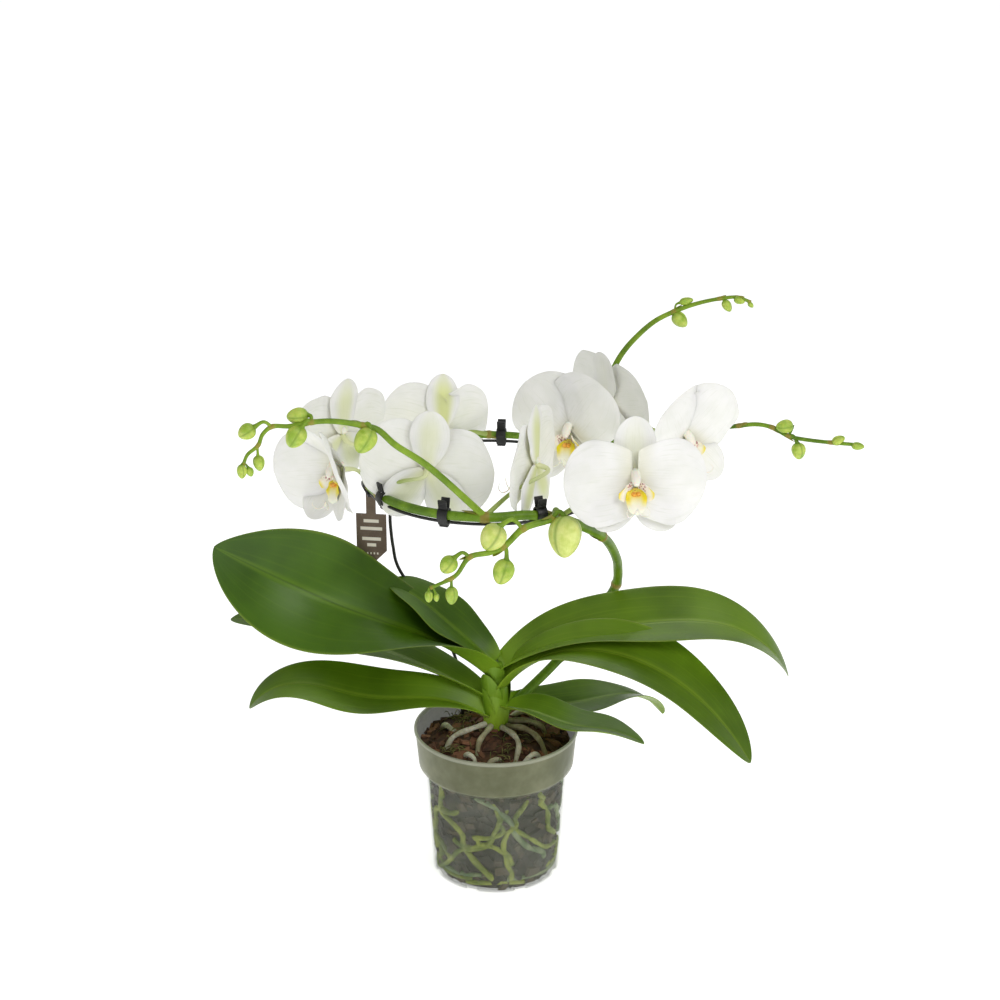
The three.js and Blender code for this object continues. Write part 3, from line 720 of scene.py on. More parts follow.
def makeMoss():
    # short curled strands in a few cushions on the mix
    draw = np.random.default_rng(mix["seed"])
    paths = []
    cushions = draw.uniform(-1, 1, (mix["mossCushions"], 2)) * mix["mossReach"]
    for k in range(mix["mossStrands"]):
        x, y = cushions[k % len(cushions)] + draw.normal(0, mix["mossSpread"], 2)
        reach = math.hypot(x, y) / (rimRadius - 8 * mm)
        if reach > 0.9 or reach < 0.2:
            continue
        z = mixLevel + mix["mound"] * (1 - reach) * 0.9 + 1.5 * mm
        heading, length = draw.uniform(0, fullTurn), draw.uniform(4, 9) * mm
        way = np.array((math.cos(heading), math.sin(heading), 0))
        rise = draw.uniform(0.1, 0.5)
        t = np.linspace(0, 1, 5)[:, None]
        strand = np.array((x, y, z)) + length * (way * t + np.array((0, 0, rise)) * np.sin(math.pi * t))
        paths.append((strand, np.array((0.25, 0.4, 0.4, 0.3, 0.1)) * mm, draw.uniform(0, 1)))
    build = Build()
    addTubes(build, paths, 3)
    settle(build.finish("moss", [mossLook()]), None)


wallRoots = {
    "count": 26, "steps": 34, "girth": (1.7, 2.4), "seed": 5, "sides": 10,
    "startsIn": (7, 4, 1.5), "endsIn": (1, 3, 6),  # how far each end turns in from the wall, millimetres
    "floorCount": 9, "floorSteps": 16, "floorGirth": 1.9 * mm,
}


def wallRoot(angle, radius, z):
    return curveThrough(np.stack([radius * np.cos(angle), radius * np.sin(angle), z], -1), 2 * mm)


def makeWallRoots():
    # roots that press against the inside of the clear wall, and wander down it
    draw = np.random.default_rng(wallRoots["seed"])
    paths = []
    count, steps = wallRoots["count"], wallRoots["steps"]
    for k in range(count):
        girth = draw.uniform(*wallRoots["girth"]) * mm
        turn = fullTurn * (k + draw.uniform(-0.25, 0.25)) / count
        drift = np.cumsum(draw.normal(0, 0.075, steps)) + np.linspace(0, draw.uniform(-1.1, 1.1), steps)
        drift = np.convolve(np.pad(drift, 3, mode="edge"), np.ones(7) / 7, "valid")
        high = draw.uniform(0.35, 0.85) * mixLevel
        low = draw.uniform(0.0, 0.3) * mixLevel
        z = np.linspace(high, low, steps) + 5 * mm * np.sin(np.linspace(0, 9, steps) + k)
        z = np.clip(z, 5 * mm, mixLevel - 5 * mm)
        radius = potWallAt(z) - girth - touchGap
        radius[:3] -= np.array(wallRoots["startsIn"]) * mm
        radius[-3:] -= np.array(wallRoots["endsIn"]) * mm
        path = wallRoot(turn + drift, radius, z)
        wobble = 1 + 0.1 * np.sin(np.arange(len(path)) * 0.8)
        paths.append((path, girth * wobble, float(draw.uniform(0, 1) > 0.6)))
    steps = wallRoots["floorSteps"]
    for k in range(wallRoots["floorCount"]):
        angle = 0.7 * k + np.linspace(0, draw.uniform(0.9, 1.6), steps)
        z = (5 + 3 * (k % 3)) * mm + 1.5 * mm * np.sin(3 * angle)
        radius = potWallAt(z) - 2.4 * mm - 1.5 * mm * np.sin(np.linspace(0, 3, steps) + k) ** 2
        paths.append((wallRoot(angle, radius, z), wallRoots["floorGirth"], float(k % 2)))
    build = Build()
    addTubes(build, paths, wallRoots["sides"])
    settle(build.finish("wall_roots", [wallRootLook()]), None)


makeMix()
makeMoss()
makeWallRoots()
print("potting mix, moss and inner roots made")


# Roots over the mix

roots = {
    "girth": 2.3 * mm, "tones": (0, 0.75, 0.35, 0.9, 0.8),
    "routes": {  # from the crown where it leaves the mix
        "root_left": [(-6, -4, 15), (-20, -12, 14), (-33, -18, 9), (-38, -21, -5)],
        "root_front_left": [(-4, -8, 15), (-9, -19, 13), (-13, -28, 8), (-14, -32, -5)],
        "root_front": [(4, -8, 14), (12, -20, 15), (16, -32, 11), (13, -41, -5)],
        "root_front_right": [(8, -5, 14), (22, -16, 16), (33, -24, 10), (37, -28, -5)],
        "root_right": [(8, 1, 15), (22, 0, 15), (34, 3, 9), (38, 5, -5)],
    },
    "stubs": [  # short ends that show between the chips
        [(-22, -30, 2), (-20, -34, 5), (-16, -37, 4), (-14, -40, -3)],
        [(20, -38, 0), (24, -37, 5), (29, -33, 5), (33, -30, -3)],
        [(2, -36, 2), (0, -41, 5), (-4, -45, 4), (-6, -47, -3)],
        [(-30, 6, 3), (-36, 10, 6), (-40, 16, 2), (-40, 20, -4)],
        [(10, 28, 3), (18, 32, 6), (26, 33, 3), (30, 32, -4)],
    ],
}


def rootLook():
    sheet = Look("rootSkin")
    cloud = sheet.noise(90.0, 4.0, 0.6)
    speck = sheet.noise(500.0, 3.0, 0.7)
    share = sheet.uv()[0]
    white = sheet.mix(cloud.between(0.3, 0.7), (176, 172, 150), (222, 220, 204))
    olive = sheet.mix(cloud.between(0.3, 0.7), (112, 104, 66), (158, 150, 108))
    skin = sheet.mix(sheet.mark("tone"), white, olive)
    skin = sheet.mix(share.between(0.45, 1.0) * 0.7, skin, (118, 116, 70))
    skin = sheet.mix(speck.between(0.5, 0.7) * 0.5, skin, (112, 90, 60))
    return sheet.finish(colour=skin, roughness=0.62 + 0.2 * speck, flesh=0.15, fleshDepth=1 * mm,
                        normal=sheet.bump(speck * 0.6 + cloud, 0.4 * mm, 0.7))


def rootPath(route, phase, tone):
    path = curveThrough(np.array(route) * mm + np.array((0, 0, mixLevel)))
    step = np.arange(len(path))
    path[:, :2] += 0.5 * mm * np.stack([np.sin(step * 0.35 + phase), np.cos(step * 0.29 + phase)], -1)
    return path, roots["girth"] * (0.92 + 0.1 * np.sin(step * 0.6 + phase) - 0.14 * step / len(path)), tone


def makeRoots():
    look = rootLook()
    for k, (name, route) in enumerate(roots["routes"].items()):
        build = Build()
        addTubes(build, [rootPath(route, k, roots["tones"][k])], 14)
        settle(build.finish(name + "_fine", [look]), name)
    build = Build()
    addTubes(build, [rootPath(route, k + 7, 0.3 * (k % 3)) for k, route in enumerate(roots["stubs"])], 12)
    settle(build.finish("root_ends", [look]), None)


makeRoots()
print("roots made")


# Crown and leaves

crown = {
    "radius": 12 * mm, "height": 62 * mm, "sunk": 8 * mm, "shares": [0.62, 0.7, 0.82, 0.72, 0.4], "sides": 28,
    "sheaths": 7, "sheathLength": 34 * mm,
}


def crownLook():
    sheet = Look("crownSkin")
    x, y, z = sheet.split(sheet.place)
    fibre = sheet.noise(1.0, 4.0, 0.6, sheet.join(x * 500, y * 500, z * 60))
    height = z.between(mixLevel + 4 * mm, mixLevel + crown["height"] * 0.8)
    skin = sheet.mix(height, (152, 184, 46), (116, 154, 34))
    skin = sheet.mix(fibre.between(0.5, 0.8) * 0.25, skin, (176, 196, 80))
    # painted shade: the sheaths' lower face, which lies against the crown, and their edges are darkened
    skin = sheet.mix(sheet.mark("under") * 0.4, skin, (84, 112, 28))
    soil = 1 - z.between(mixLevel, mixLevel + 12 * mm)
    return sheet.finish(colour=sheet.mix(soil * 0.6, skin, (96, 88, 46)), roughness=0.4 + 0.1 * fibre,
                        specular=0.35, normal=sheet.bump(fibre, 0.3 * mm, 0.5))


def makeCrown():
    z = np.linspace(-crown["sunk"], crown["height"], 60)
    girth = crown["radius"] * along(crown["shares"], np.linspace(0, 1, len(z)))
    path = np.column_stack([np.zeros((len(z), 2)), z + mixLevel])
    build = Build()
    addTubes(build, [(path, girth)], crown["sides"])
    for k in range(crown["sheaths"]):
        index = 6 + 7 * k
        side = math.pi / 2 * (-1) ** k + 0.2 * k
        addBract(build, path, index, girth[index] + k * 0.1 * mm, side, 0, crown["sheathLength"] - 2 * mm * k)
    settle(build.finish("crown_fine", [crownLook()]), "crown")


leafShapes = {
    "thickness": 1.8 * mm, "fold": (38, 7), "groove": 0.8 * mm, "wave": 1.3 * mm, "waves": 2,
    "rows": 72, "cols": 26,
    "leaves": {  # kind, base from the crown, heading, rise, roll, length, width, widest share, taper
        # painted shade: this leaf takes the deep kind, the darker copy of the leaf green
        "leaf_left_large": ("deep", (-5, -3, 54), (189, 187, 188), (45, 24, 29, 32), (21, -39, -100),
                            223, 88, 0.61, 1.7),
        "leaf_centre_young": ("young", (-1, 1, 62), (165, 172, 178), (36, 40, 40, 18), (-19, -12, -5),
                              98, 51, 0.59, 2),
        "leaf_right_large": ("pale", (5, 1, 58), (1, -7, -11), (37, 13, -2, -65), (18, 13, -8),
                             229, 69, 0.6, 2),
        "leaf_right_second": ("pale", (5, -4, 44), (-17, -24, -31), (57, 10, -27, -55), (16, 12, -3),
                              224, 60, 0.56, 2),
        "leaf_left_back": ("pale", (-7, 2, 32), (163, 166, 171), (27, 16, 11, -8), (5, -4, -3),
                           204, 57, 0.59, 2),
        "leaf_right_low_front": ("pale", (7, -7, 29), (-40, -35, -30), (20, -3, 10, -18), (7, -5, -14),
                                 119, 42, 0.51, 2),
        "leaf_right_low_back": ("pale", (8, 6, 28), (19, 24, 16), (-21, -6, -3, -64), (23, 7, -26),
                                138, 42, 0.49, 2),
        "leaf_left_low": ("pale", (-7, -6, 22), (185, 181, 186), (35, 0, 16, -55), (-13, -16, -5),
                          183, 53, 0.58, 2.2),
    },
    "greens": {  # deep, middle and pale green of each kind; the deep kind is the leaf green darkened as painted shade and the pale kind is lightened as painted light
        "deep": ((48, 78, 6), (72, 108, 12), (112, 146, 30)),
        "pale": ((74, 104, 12), (106, 140, 24), (148, 176, 52)),
        "young": ((64, 98, 8), (92, 130, 16), (136, 170, 36)),
    },
}


def leafLook(kind):
    deep, middle, pale = leafShapes["greens"][kind]
    sheet = Look("leaf_" + kind)
    s, v = sheet.uv()
    side = abs(v - 0.5) * 2
    blotch = sheet.noise(14.0, 3.0, 0.5)
    fine = sheet.noise(420.0, 3.0, 0.6)
    vein = sheet.noise(1.0, 2.0, 0.5, sheet.join(s * 1.5, v * 30, 0.0))
    groove = 1 - side.between(0.0, 0.035)
    skin = sheet.mix(blotch.between(0.3, 0.7), deep, middle)
    skin = sheet.mix(vein.between(0.5, 0.75) * 0.16, skin, pale)
    skin = sheet.mix((1 - side.between(0.02, 0.12)) * 0.35, skin, pale)
    # painted shade: the narrow groove along the midrib is darkened towards the deep green
    skin = sheet.mix(groove * 0.55, skin, deep)
    skin = sheet.mix(side.between(0.94, 1.0) * 0.5, skin, (140, 158, 60))
    skin = sheet.mix((1 - s.between(0.0, 0.16)) * 0.8, skin, (140, 176, 40))
    skin = sheet.mix(sheet.mark("under") * 0.5, skin, pale)
    return sheet.finish(
        colour=skin, roughness=0.27 + 0.14 * blotch + 0.08 * fine, specular=0.28,
        flesh=0.06, fleshDepth=2 * mm, fleshTint=(0.3, 1.0, 0.2),
        normal=sheet.bump(vein * 0.35 + blotch * 0.8 + fine * 0.1 - groove * 0.3, 0.5 * mm, 0.5))


def makeLeaves():
    looks = {kind: leafLook(kind) for kind in leafShapes["greens"]}
    for k, (name, leaf) in enumerate(leafShapes["leaves"].items()):
        kind, base, heading, rise, roll, length, width, widest, taper = leaf
        shape = {**leafShapes, "base": np.array(base) * mm + np.array((0, 0, mixLevel)), "heading": heading,
                 "rise": rise, "roll": roll, "length": length * mm, "width": width * mm, "widest": widest,
                 "taper": taper, "phase": 0.31 * k}
        build = Build()
        addBlade(build, shape, leafShapes["rows"], leafShapes["cols"])
        settle(build.finish(name + "_fine", [looks[kind]]), name)


makeCrown()
makeLeaves()
print("crown and leaves made")


# Hoop, flower stem, side shoots and buds

# of each flower: its place from the stem's ring centre in millimetres; its facing, tilt and spin, and how
# far its petals lift and spread, in degrees; how green its sepals are; where on the stem its stalk starts
bloomValues = ("place", "faces", "tilt", "spin", "lift", "spread", "flush", "foot")
blooms = [dict(zip(bloomValues, bloom)) for bloom in (
    ((-100, -62, 25), -138, -5, 14, 0, 34, 0.1, 0.5),
    ((-104, 10, 26), 138, 10, 5, -5, 5, 0.6, 0.6),
    ((-41, -50, 21), 80, -8, 5, 0, -5, 0.45, 0.48),
    ((-35, 72, 9), 115, 0, 10, 0, 20, 1.0, 0.68),
    ((30, -50, 25), 160, 0, 0, 5, 0, 0.9, 0.38),
    ((57, 6, 29), -118, 5, 5, 42, 10, 0.1, 0.8),
    ((85, 48, 35), 32, 10, 0, 10, 5, 0.1, 0.84),
    ((96, -95, 30), -88, 10, 0, -12, 0, 0.25, 0.32),
    ((136, 0, 26), -52, 0, 2, 46, 22, 0.1, 0.88),
)]
stem = {
    "wire": 1.1 * mm, "girth": 3.4 * mm, "shares": [1, 1, 0.97, 0.9, 0.8, 0.55, 0.38],
    "shootGirths": [2.4, 2.04, 1.1], "stalk": 1.4 * mm, "nodeSwell": 0.22, "nodeReach": 2.2 * mm, "sides": 14,
    # angle round the hoop, share of its radius, share of the stem's height above the mix
    "rise": [(20, 0.12, 0.09), (26, 0.22, 0.12), (24, 0.35, 0.16), (26, 0.65, 0.25), (24, 0.95, 0.38),
             (18, 1.14, 0.53), (13, 1.12, 0.62), (6, 1.07, 0.68), (-8, 1, 0.77), (-23, 0.98, 0.84),
             (-40, 0.98, 0.91), (-56, 1, 0.97)],
    "arc": (-72, -296, 15),
    "tail": [(110, 60, 3), (126, 45, 11), (151, 34, 20), (177, 22, 28), (189, 16, 31), (199, 12, 30),
             (210, 8, 25), (222, 3, 24), (238, -3, 24), (256, -8, 24)],
    "extraNodes": [0.07, 0.15, 0.25], "tailNodes": (-9, -7, -5, -4, -2),
    # where the stalk leaves the tail, the bud's centre, its axis, length and width
    "tailBuds": [(-4, (207, 9, 32), (-0.9, 0, -0.1), 12, 9.5), (-4, (217, 5, 15), (0.15, -0.1, -1), 12, 10),
                 (-2, (243, -4, 26), (0.8, 0, 0.4), 9.5, 6.5), (-1, (256, -8, 23), (1, 0, -0.1), 9, 5.5)],
}
shoots = {
    "bud_shoot_left": {
        "foot": -91,
        "route": [(-40, -92, 39), (-60, -95, 54), (-71, -97, 65), (-80, -98, 68), (-99, -101, 72),
                  (-113, -103, 72), (-127, -105, 70), (-138, -106, 70), (-144, -107, 65), (-147, -108, 58),
                  (-154, -109, 52), (-157, -109, 45)],
        "buds": [(4, (-79, -101, 59), (-0.5, -0.1, -0.85), 18, 14),
                 (6, (-122, -99, 75), (-1, 0, -0.1), 14, 11),
                 (6, (-123, -105, 63), (-0.5, 0, -0.8), 16, 13),
                 (8, (-154, -107, 67), (-0.8, 0, -0.5), 12, 10.5),
                 (10, (-147, -108, 46), (0.1, 0, -1), 10.5, 7.5),
                 (12, (-158, -110, 41), (0, 0, -1), 9.5, 6.5), (12, (-153, -108, 40), (0.3, 0, -1), 6.5, 5)],
    },
    "bud_shoot_front": {
        "foot": -58,
        "route": [(42, -88, 0), (23, -96, -4), (14, -99, -12), (10, -101, -15), (1, -103, -18),
                  (-12, -106, -20), (-20, -108, -31), (-24, -109, -34), (-33, -110, -38), (-38, -111, -40)],
        "buds": [(1, (51, -92, -11), (-0.05, -0.2, -1), 28, 22),
                 (2, (3, -101, -8), (-0.5, -0.1, -0.85), 19, 17),
                 (4, (10, -102, -32), (-0.3, 0, -0.95), 18, 14),
                 (6, (-26, -107, -25), (-0.6, 0, -0.8), 13, 11.5),
                 (8, (-24, -109, -46), (0, 0, -1), 12.5, 8.5),
                 (10, (-39, -111, -46), (0, 0, -1), 8, 5.5), (10, (-34, -110, -47), (0.1, 0, -1), 6, 4)],
    },
    "bud_shoot_top": {
        "foot": 56,
        "route": [(78, 78, 29), (96, 72, 66), (107, 68, 81), (119, 64, 93), (132, 60, 101), (147, 55, 108),
                  (163, 50, 113), (175, 46, 115), (184, 44, 112)],
        "buds": [(5, (136, 59, 95), (0.6, 0, -0.6), 13, 10), (5, (140, 58, 109), (0.9, 0, 0.2), 10, 5.5),
                 (7, (168, 49, 108), (0.5, 0, -0.8), 9.5, 6.5), (8, (176, 45, 113), (0.9, 0, -0.3), 8, 5.5),
                 (9, (184, 44, 110), (0.7, 0, -0.7), 5, 3.5)],
    },
}
hoopRadius = (hoopHigh.x - hoopLow.x) / 2 - stem["wire"]
hoopCentre = np.array(((hoopHigh.x + hoopLow.x) / 2, 0, hoopHigh.z - stem["wire"]))
stemCentre = hoopCentre + np.array((0, 0, stem["wire"] + touchGap + stem["girth"]))


def onHoop(centre, degrees, share=1.0):
    turn = math.radians(degrees)
    return centre + share * hoopRadius * np.array((math.cos(turn), math.sin(turn), 0))


def fromStem(point):
    return stemCentre + np.array(point) * mm


def stemPoints():
    points = []
    for angle, share, height in stem["rise"]:
        point = onHoop(stemCentre, angle, share)
        point[2] = mixLevel + (stemCentre[2] - mixLevel) * height
        points.append(point)
    first, last, steps = stem["arc"]
    points += [onHoop(stemCentre, first + (last - first) * k / steps) for k in range(steps + 1)]
    return points + [fromStem(point) for point in stem["tail"]]


stemKnots = stemPoints()
stemPath = curveThrough(stemKnots)


def pointOn(path, share):
    return path[int(round(share * (len(path) - 1)))]


def greenLook(name, deep, pale, node):
    sheet = Look(name)
    cloud = sheet.noise(60.0, 4.0, 0.6)
    speck = sheet.noise(700.0, 2.0)
    skin = sheet.mix(cloud.between(0.3, 0.7), deep, pale)
    skin = sheet.mix(sheet.mark("tone").between(0.15, 0.8) * 0.85, skin, node)
    skin = sheet.mix(speck.between(0.6, 0.8) * 0.25, skin, (190, 205, 140))
    return sheet.finish(colour=skin, roughness=0.36 + 0.15 * speck, specular=0.3,
                        flesh=0.05, fleshDepth=1 * mm, fleshTint=(0.4, 1.0, 0.2),
                        normal=sheet.bump(cloud * 0.6 + speck * 0.2, 0.3 * mm, 0.5))


def budLook(name, deep, pale):
    sheet = Look(name)
    share = sheet.uv()[0]
    cloud = sheet.noise(130.0, 3.0, 0.6)
    streak = sheet.noise(1.0, 2.0, 0.5, sheet.join(share * 3, sheet.mark("under") * 30, 0.0))
    skin = sheet.mix(cloud.between(0.3, 0.7), deep, pale)
    skin = sheet.mix(streak.between(0.5, 0.75) * 0.4, skin, (236, 240, 170))
    skin = sheet.mix(sheet.mark("tone") * 0.7, skin, (112, 146, 34))
    skin = sheet.mix((1 - share.between(0.0, 0.25)) * 0.5, skin, (128, 162, 44))
    return sheet.finish(colour=skin, roughness=0.4 + 0.1 * cloud, specular=0.5, flesh=0.12, fleshDepth=2 * mm,
                        normal=sheet.bump(cloud * 0.4 + streak * 0.6, 0.3 * mm, 0.6))


stemGreen = greenLook("stemSkin", (80, 114, 18), (120, 156, 34), (150, 130, 60))
shootGreen = greenLook("shootSkin", (98, 132, 24), (140, 172, 46), (152, 142, 56))
budSkin = budLook("budSkin", (146, 182, 42), (198, 216, 92))
bigBudSkin = budLook("bigBudSkin", (198, 214, 96), (226, 234, 140))


budShape = {
    "rows": 18, "sides": 30, "sepals": 3, "seam": 0.07, "seamDepth": 0.05, "swell": 0.035, "taper": 0.17,
}


def addBud(build, centre, axis, length, width, look):
    # an egg-shaped bud of three sepals that meet at seams
    sides, sepals = budShape["sides"], budShape["sepals"]
    t = np.linspace(0, math.pi, budShape["rows"] + 2)[1:-1, None]
    angle = np.arange(sides)[None, :] * fullTurn / sides
    height = -np.cos(t)
    seam = np.exp(-(np.abs((angle * sepals / fullTurn + 0.5) % 1 - 0.5) / budShape["seam"]) ** 2)
    swell = 1 + budShape["swell"] * np.cos(sepals * angle + math.pi)
    radius = np.sin(t) * (1 - budShape["taper"] * height) * (swell - budShape["seamDepth"] * seam * np.sin(t))
    peak = 1 + 0.02 * np.clip(height, 0, 1) ** 6
    x, y = radius * np.cos(angle) * width / 2, radius * np.sin(angle) * width / 2
    rings = np.stack([x, y, np.broadcast_to(height * peak * length / 2, x.shape)], -1)
    turn = Vector(axis).normalized().to_track_quat("Z", "Y").to_matrix()
    rings = rings @ np.array(turn).T + centre
    uv = np.stack([np.broadcast_to((height + 1) / 2, x.shape), np.broadcast_to(angle / 7, x.shape)], -1)
    side = np.broadcast_to(0.5 + 0.5 * np.cos(sepals * angle), x.shape)
    build.skin(rings, uv, look, side, np.append((seam * np.ones_like(x)).ravel(), (1, 1)))


def stalkPath(foot, centre, axis, length, width):
    way = np.array(axis) / np.linalg.norm(axis)
    neck = centre - 0.42 * length * way
    knee = (foot + neck) / 2 + np.array((0, 0, 0.25 * np.linalg.norm(neck - foot))) - 0.1 * length * way
    path = curveThrough([foot, knee, neck], 1 * mm)
    girth = np.clip(width * 0.11, 0.7 * mm, stem["stalk"])
    swell = 1 + 0.9 * np.linspace(0, 1, len(path)) ** 6
    return path, girth * swell, 0.25 * np.linspace(1, 0, len(path))


def nodeBumps(path, spots):
    # a swelling where something leaves the stem, and the mark that colours it
    bump = np.zeros(len(path))
    for spot in spots:
        bump += np.exp(-(np.linalg.norm(path - spot, axis=1) / stem["nodeReach"]) ** 2)
    return np.minimum(bump, 1)


def makeShoot(node, path, knots, girths, buds, nodes, look):
    bump = nodeBumps(path, nodes)
    swell = 1 + stem["nodeSwell"] * bump
    girth = along(girths, np.linspace(0, 1, len(path))) * swell
    tubes = [(path, girth, bump)]
    build = Build()
    for index, spot, axis, length, width in buds:
        tubes.append(stalkPath(knots[index], fromStem(spot), axis, length * mm, width * mm))
        addBud(build, fromStem(spot), axis, length * mm, width * mm, 2 if width > 16 else 1)
    addTubes(build, tubes, stem["sides"])
    for k, spot in enumerate(nodes):
        index = int(np.argmin(np.linalg.norm(path - spot, axis=1)))
        if 4 < index < len(path) - 4:
            addBract(build, path, index, girth[index] / swell[index], 1.3 * k, 0, 4.2 * girth[index])
    settle(build.finish(node + "_fine", [look, budSkin, bigBudSkin]), node)


def makeStemAndShoots():
    nodes = [pointOn(stemPath, share) for share in [bloom["foot"] for bloom in blooms] + stem["extraNodes"]]
    nodes += [onHoop(stemCentre, shoot["foot"]) for shoot in shoots.values()]
    nodes += [stemKnots[index] for index in stem["tailNodes"]]
    girths = stem["girth"] * np.array(stem["shares"])
    makeShoot("flower_stem", stemPath, stemKnots, girths, stem["tailBuds"], nodes, stemGreen)
    girths = np.array(stem["shootGirths"]) * mm
    for name, shoot in shoots.items():
        knots = [onHoop(stemCentre, shoot["foot"]), *[fromStem(point) for point in shoot["route"]]]
        path = curveThrough(knots, 1.2 * mm)
        nodes = [knots[index] for index in sorted({bud[0] for bud in shoot["buds"]})]
        makeShoot(name, path, knots, girths, shoot["buds"], nodes, shootGreen)


hoop = {
    "steps": 192, "sides": 12, "legSides": 10, "legStart": 200,
    # millimetres from the ring's centre, then from the mix at the pot's axis
    "leg": [(-74, -15, -5), (-70, -5, -17), (-70, 5, -35), (-69, 14, -55), (-66, 22, -75)],
    "legFoot": [(-50, 34, 88), (-30, 36, 48), (-24, 31, -25)],
}


def wireLook():
    sheet = Look("wireCoat")
    scuff = sheet.noise(180.0, 4.0, 0.65)
    return sheet.finish(colour=sheet.mix(scuff.between(0.5, 0.75), (26, 26, 25), (52, 52, 49)),
                        roughness=0.32 + 0.25 * scuff, specular=0.5, normal=sheet.bump(scuff, 0.15 * mm, 0.4))


def makeHoop():
    build = Build()
    turns = np.linspace(0, fullTurn, hoop["steps"], endpoint=False)[:, None]
    around = np.linspace(0, fullTurn, hoop["sides"], endpoint=False)[None, :]
    radius = hoopRadius + stem["wire"] * np.cos(around)
    height = stem["wire"] * np.sin(around) * np.ones_like(turns)
    points = np.stack([radius * np.cos(turns), radius * np.sin(turns), height], -1) + hoopCentre
    points = points.reshape(-1, 3)
    build.add(points, ringFaces(hoop["steps"], hoop["sides"], closed=True), np.zeros((len(points), 2)))
    knots = [onHoop(hoopCentre, hoop["legStart"]), *(hoopCentre + np.array(hoop["leg"]) * mm),
             *(np.array((0, 0, mixLevel)) + np.array(hoop["legFoot"]) * mm)]
    addTubes(build, [(curveThrough(knots), 1.1 * stem["wire"])], hoop["legSides"])
    settle(build.finish("support_hoop_fine", [wireLook()]), "support_hoop")


makeStemAndShoots()
makeHoop()
print("stem, shoots, buds and hoop made")


# Clips and hang tag

clip = {
    "angles": {"stem_clip_front": -110, "stem_clip_right": -66, "stem_clip_left": -146,
               "stem_clip_side": -165, "stem_clip_back": 84},
    "wall": 1.3 * mm, "length": 7 * mm, "bead": (3 * mm, 1.6 * mm), "edge": 0.25 * mm,
    "tabHeight": 7 * mm, "tabThick": 1.5 * mm, "tabOut": 1.9 * mm, "tabSunk": 0.8 * mm, "tabLean": 0.24,
    "ridges": 4, "ridgeStart": 2.4 * mm, "ridgeStep": 1.2 * mm, "ridge": (0.6 * mm, 0.5 * mm),
}


def clipLook():
    sheet = Look("clipPlastic")
    scuff = sheet.noise(260.0, 4.0, 0.6)
    fine = sheet.noise(1600.0, 2.0)
    return sheet.finish(colour=sheet.mix(scuff.between(0.5, 0.8), (18, 18, 18), (44, 44, 43)),
                        roughness=0.34 + 0.25 * scuff, specular=0.5,
                        normal=sheet.bump(fine * 0.5 + scuff, 0.12 * mm, 0.5))


def clipOutline(grow):
    # round the stem above and the wire below, joined by their shared tangents
    inner, wire = stem["girth"] + 0.8 * touchGap + grow, stem["wire"] + 0.8 * touchGap + grow
    drop = stemCentre[2] - hoopCentre[2]
    lean = math.asin((inner - wire) / drop)
    over = np.linspace(-lean, math.pi + lean, 26)
    below = np.linspace(math.pi + lean, 2 * math.pi - lean, 12)
    return np.vstack([np.stack([inner * np.cos(over), inner * np.sin(over)], -1),
                      np.stack([wire * np.cos(below), wire * np.sin(below) - drop], -1)])


def makeClips():
    look = clipLook()
    length, tabHeight, tabThick = clip["length"], clip["tabHeight"], clip["tabThick"]
    top = stem["girth"] + touchGap + clip["wall"]
    foot = hoopCentre[2] - stemCentre[2] - stem["wire"] - clip["wall"]
    for name, degrees in clip["angles"].items():
        work = bmesh.new()
        loops = [[work.verts.new((x, y, z)) for x, z in clipOutline(grow)]
                 for y in (-length / 2, length / 2) for grow in (0, clip["wall"])]
        count = len(loops[0])
        for a, b in ((0, 1), (1, 3), (3, 2), (2, 0)):
            for c in range(count):
                d = (c + 1) % count
                work.faces.new((loops[a][c], loops[a][d], loops[b][d], loops[b][c]))
        for side in (-1, 1):
            lean = Matrix.Translation((clip["tabOut"] * side, 0, top - clip["tabSunk"]))
            lean = lean @ Matrix.Rotation(clip["tabLean"] * side, 4, "Y")
            addBlock(work, lean, (0, 0, tabHeight / 2), (tabThick, length - mm, tabHeight))
            for k in range(clip["ridges"]):
                place = (side * tabThick / 2, 0, clip["ridgeStart"] + k * clip["ridgeStep"])
                addBlock(work, lean, place, (clip["ridge"][0], length - 1.6 * mm, clip["ridge"][1]))
        wide, high = clip["bead"]
        addBlock(work, Matrix(), (0, 0, foot - high / 4), (wide, length - mm, high))
        bmesh.ops.recalc_face_normals(work, faces=work.faces)
        spot = onHoop(stemCentre, degrees)
        work.transform(Matrix.Translation(spot.tolist()) @ Matrix.Rotation(math.radians(degrees), 4, "Z"))
        piece = addObject(name + "_fine", closeWork(work, bpy.data.meshes.new(name + "_fine"), [look]))
        edge = piece.modifiers.new("edge", "BEVEL")
        edge.width = clip["edge"]
        edge.segments = 2
        edge.angle_limit = math.radians(40)
        piece.data = plainMesh(piece)
        piece.data.shade_smooth()
        settle(piece, name)


tag = {
    "width": 22 * mm, "height": 36 * mm, "thick": 0.8 * mm, "drop": 31 * mm, "strap": 7 * mm, "cut": 8 * mm,
    "spot": 170, "turn": -8,  # degrees round the hoop, degrees off the view
    "bars": ((0.15, 0.5), (0.31, 0.72), (0.53, 0.62), (0.66, 0.3)),  # how far down and how wide, as shares
    "dots": 9,
}


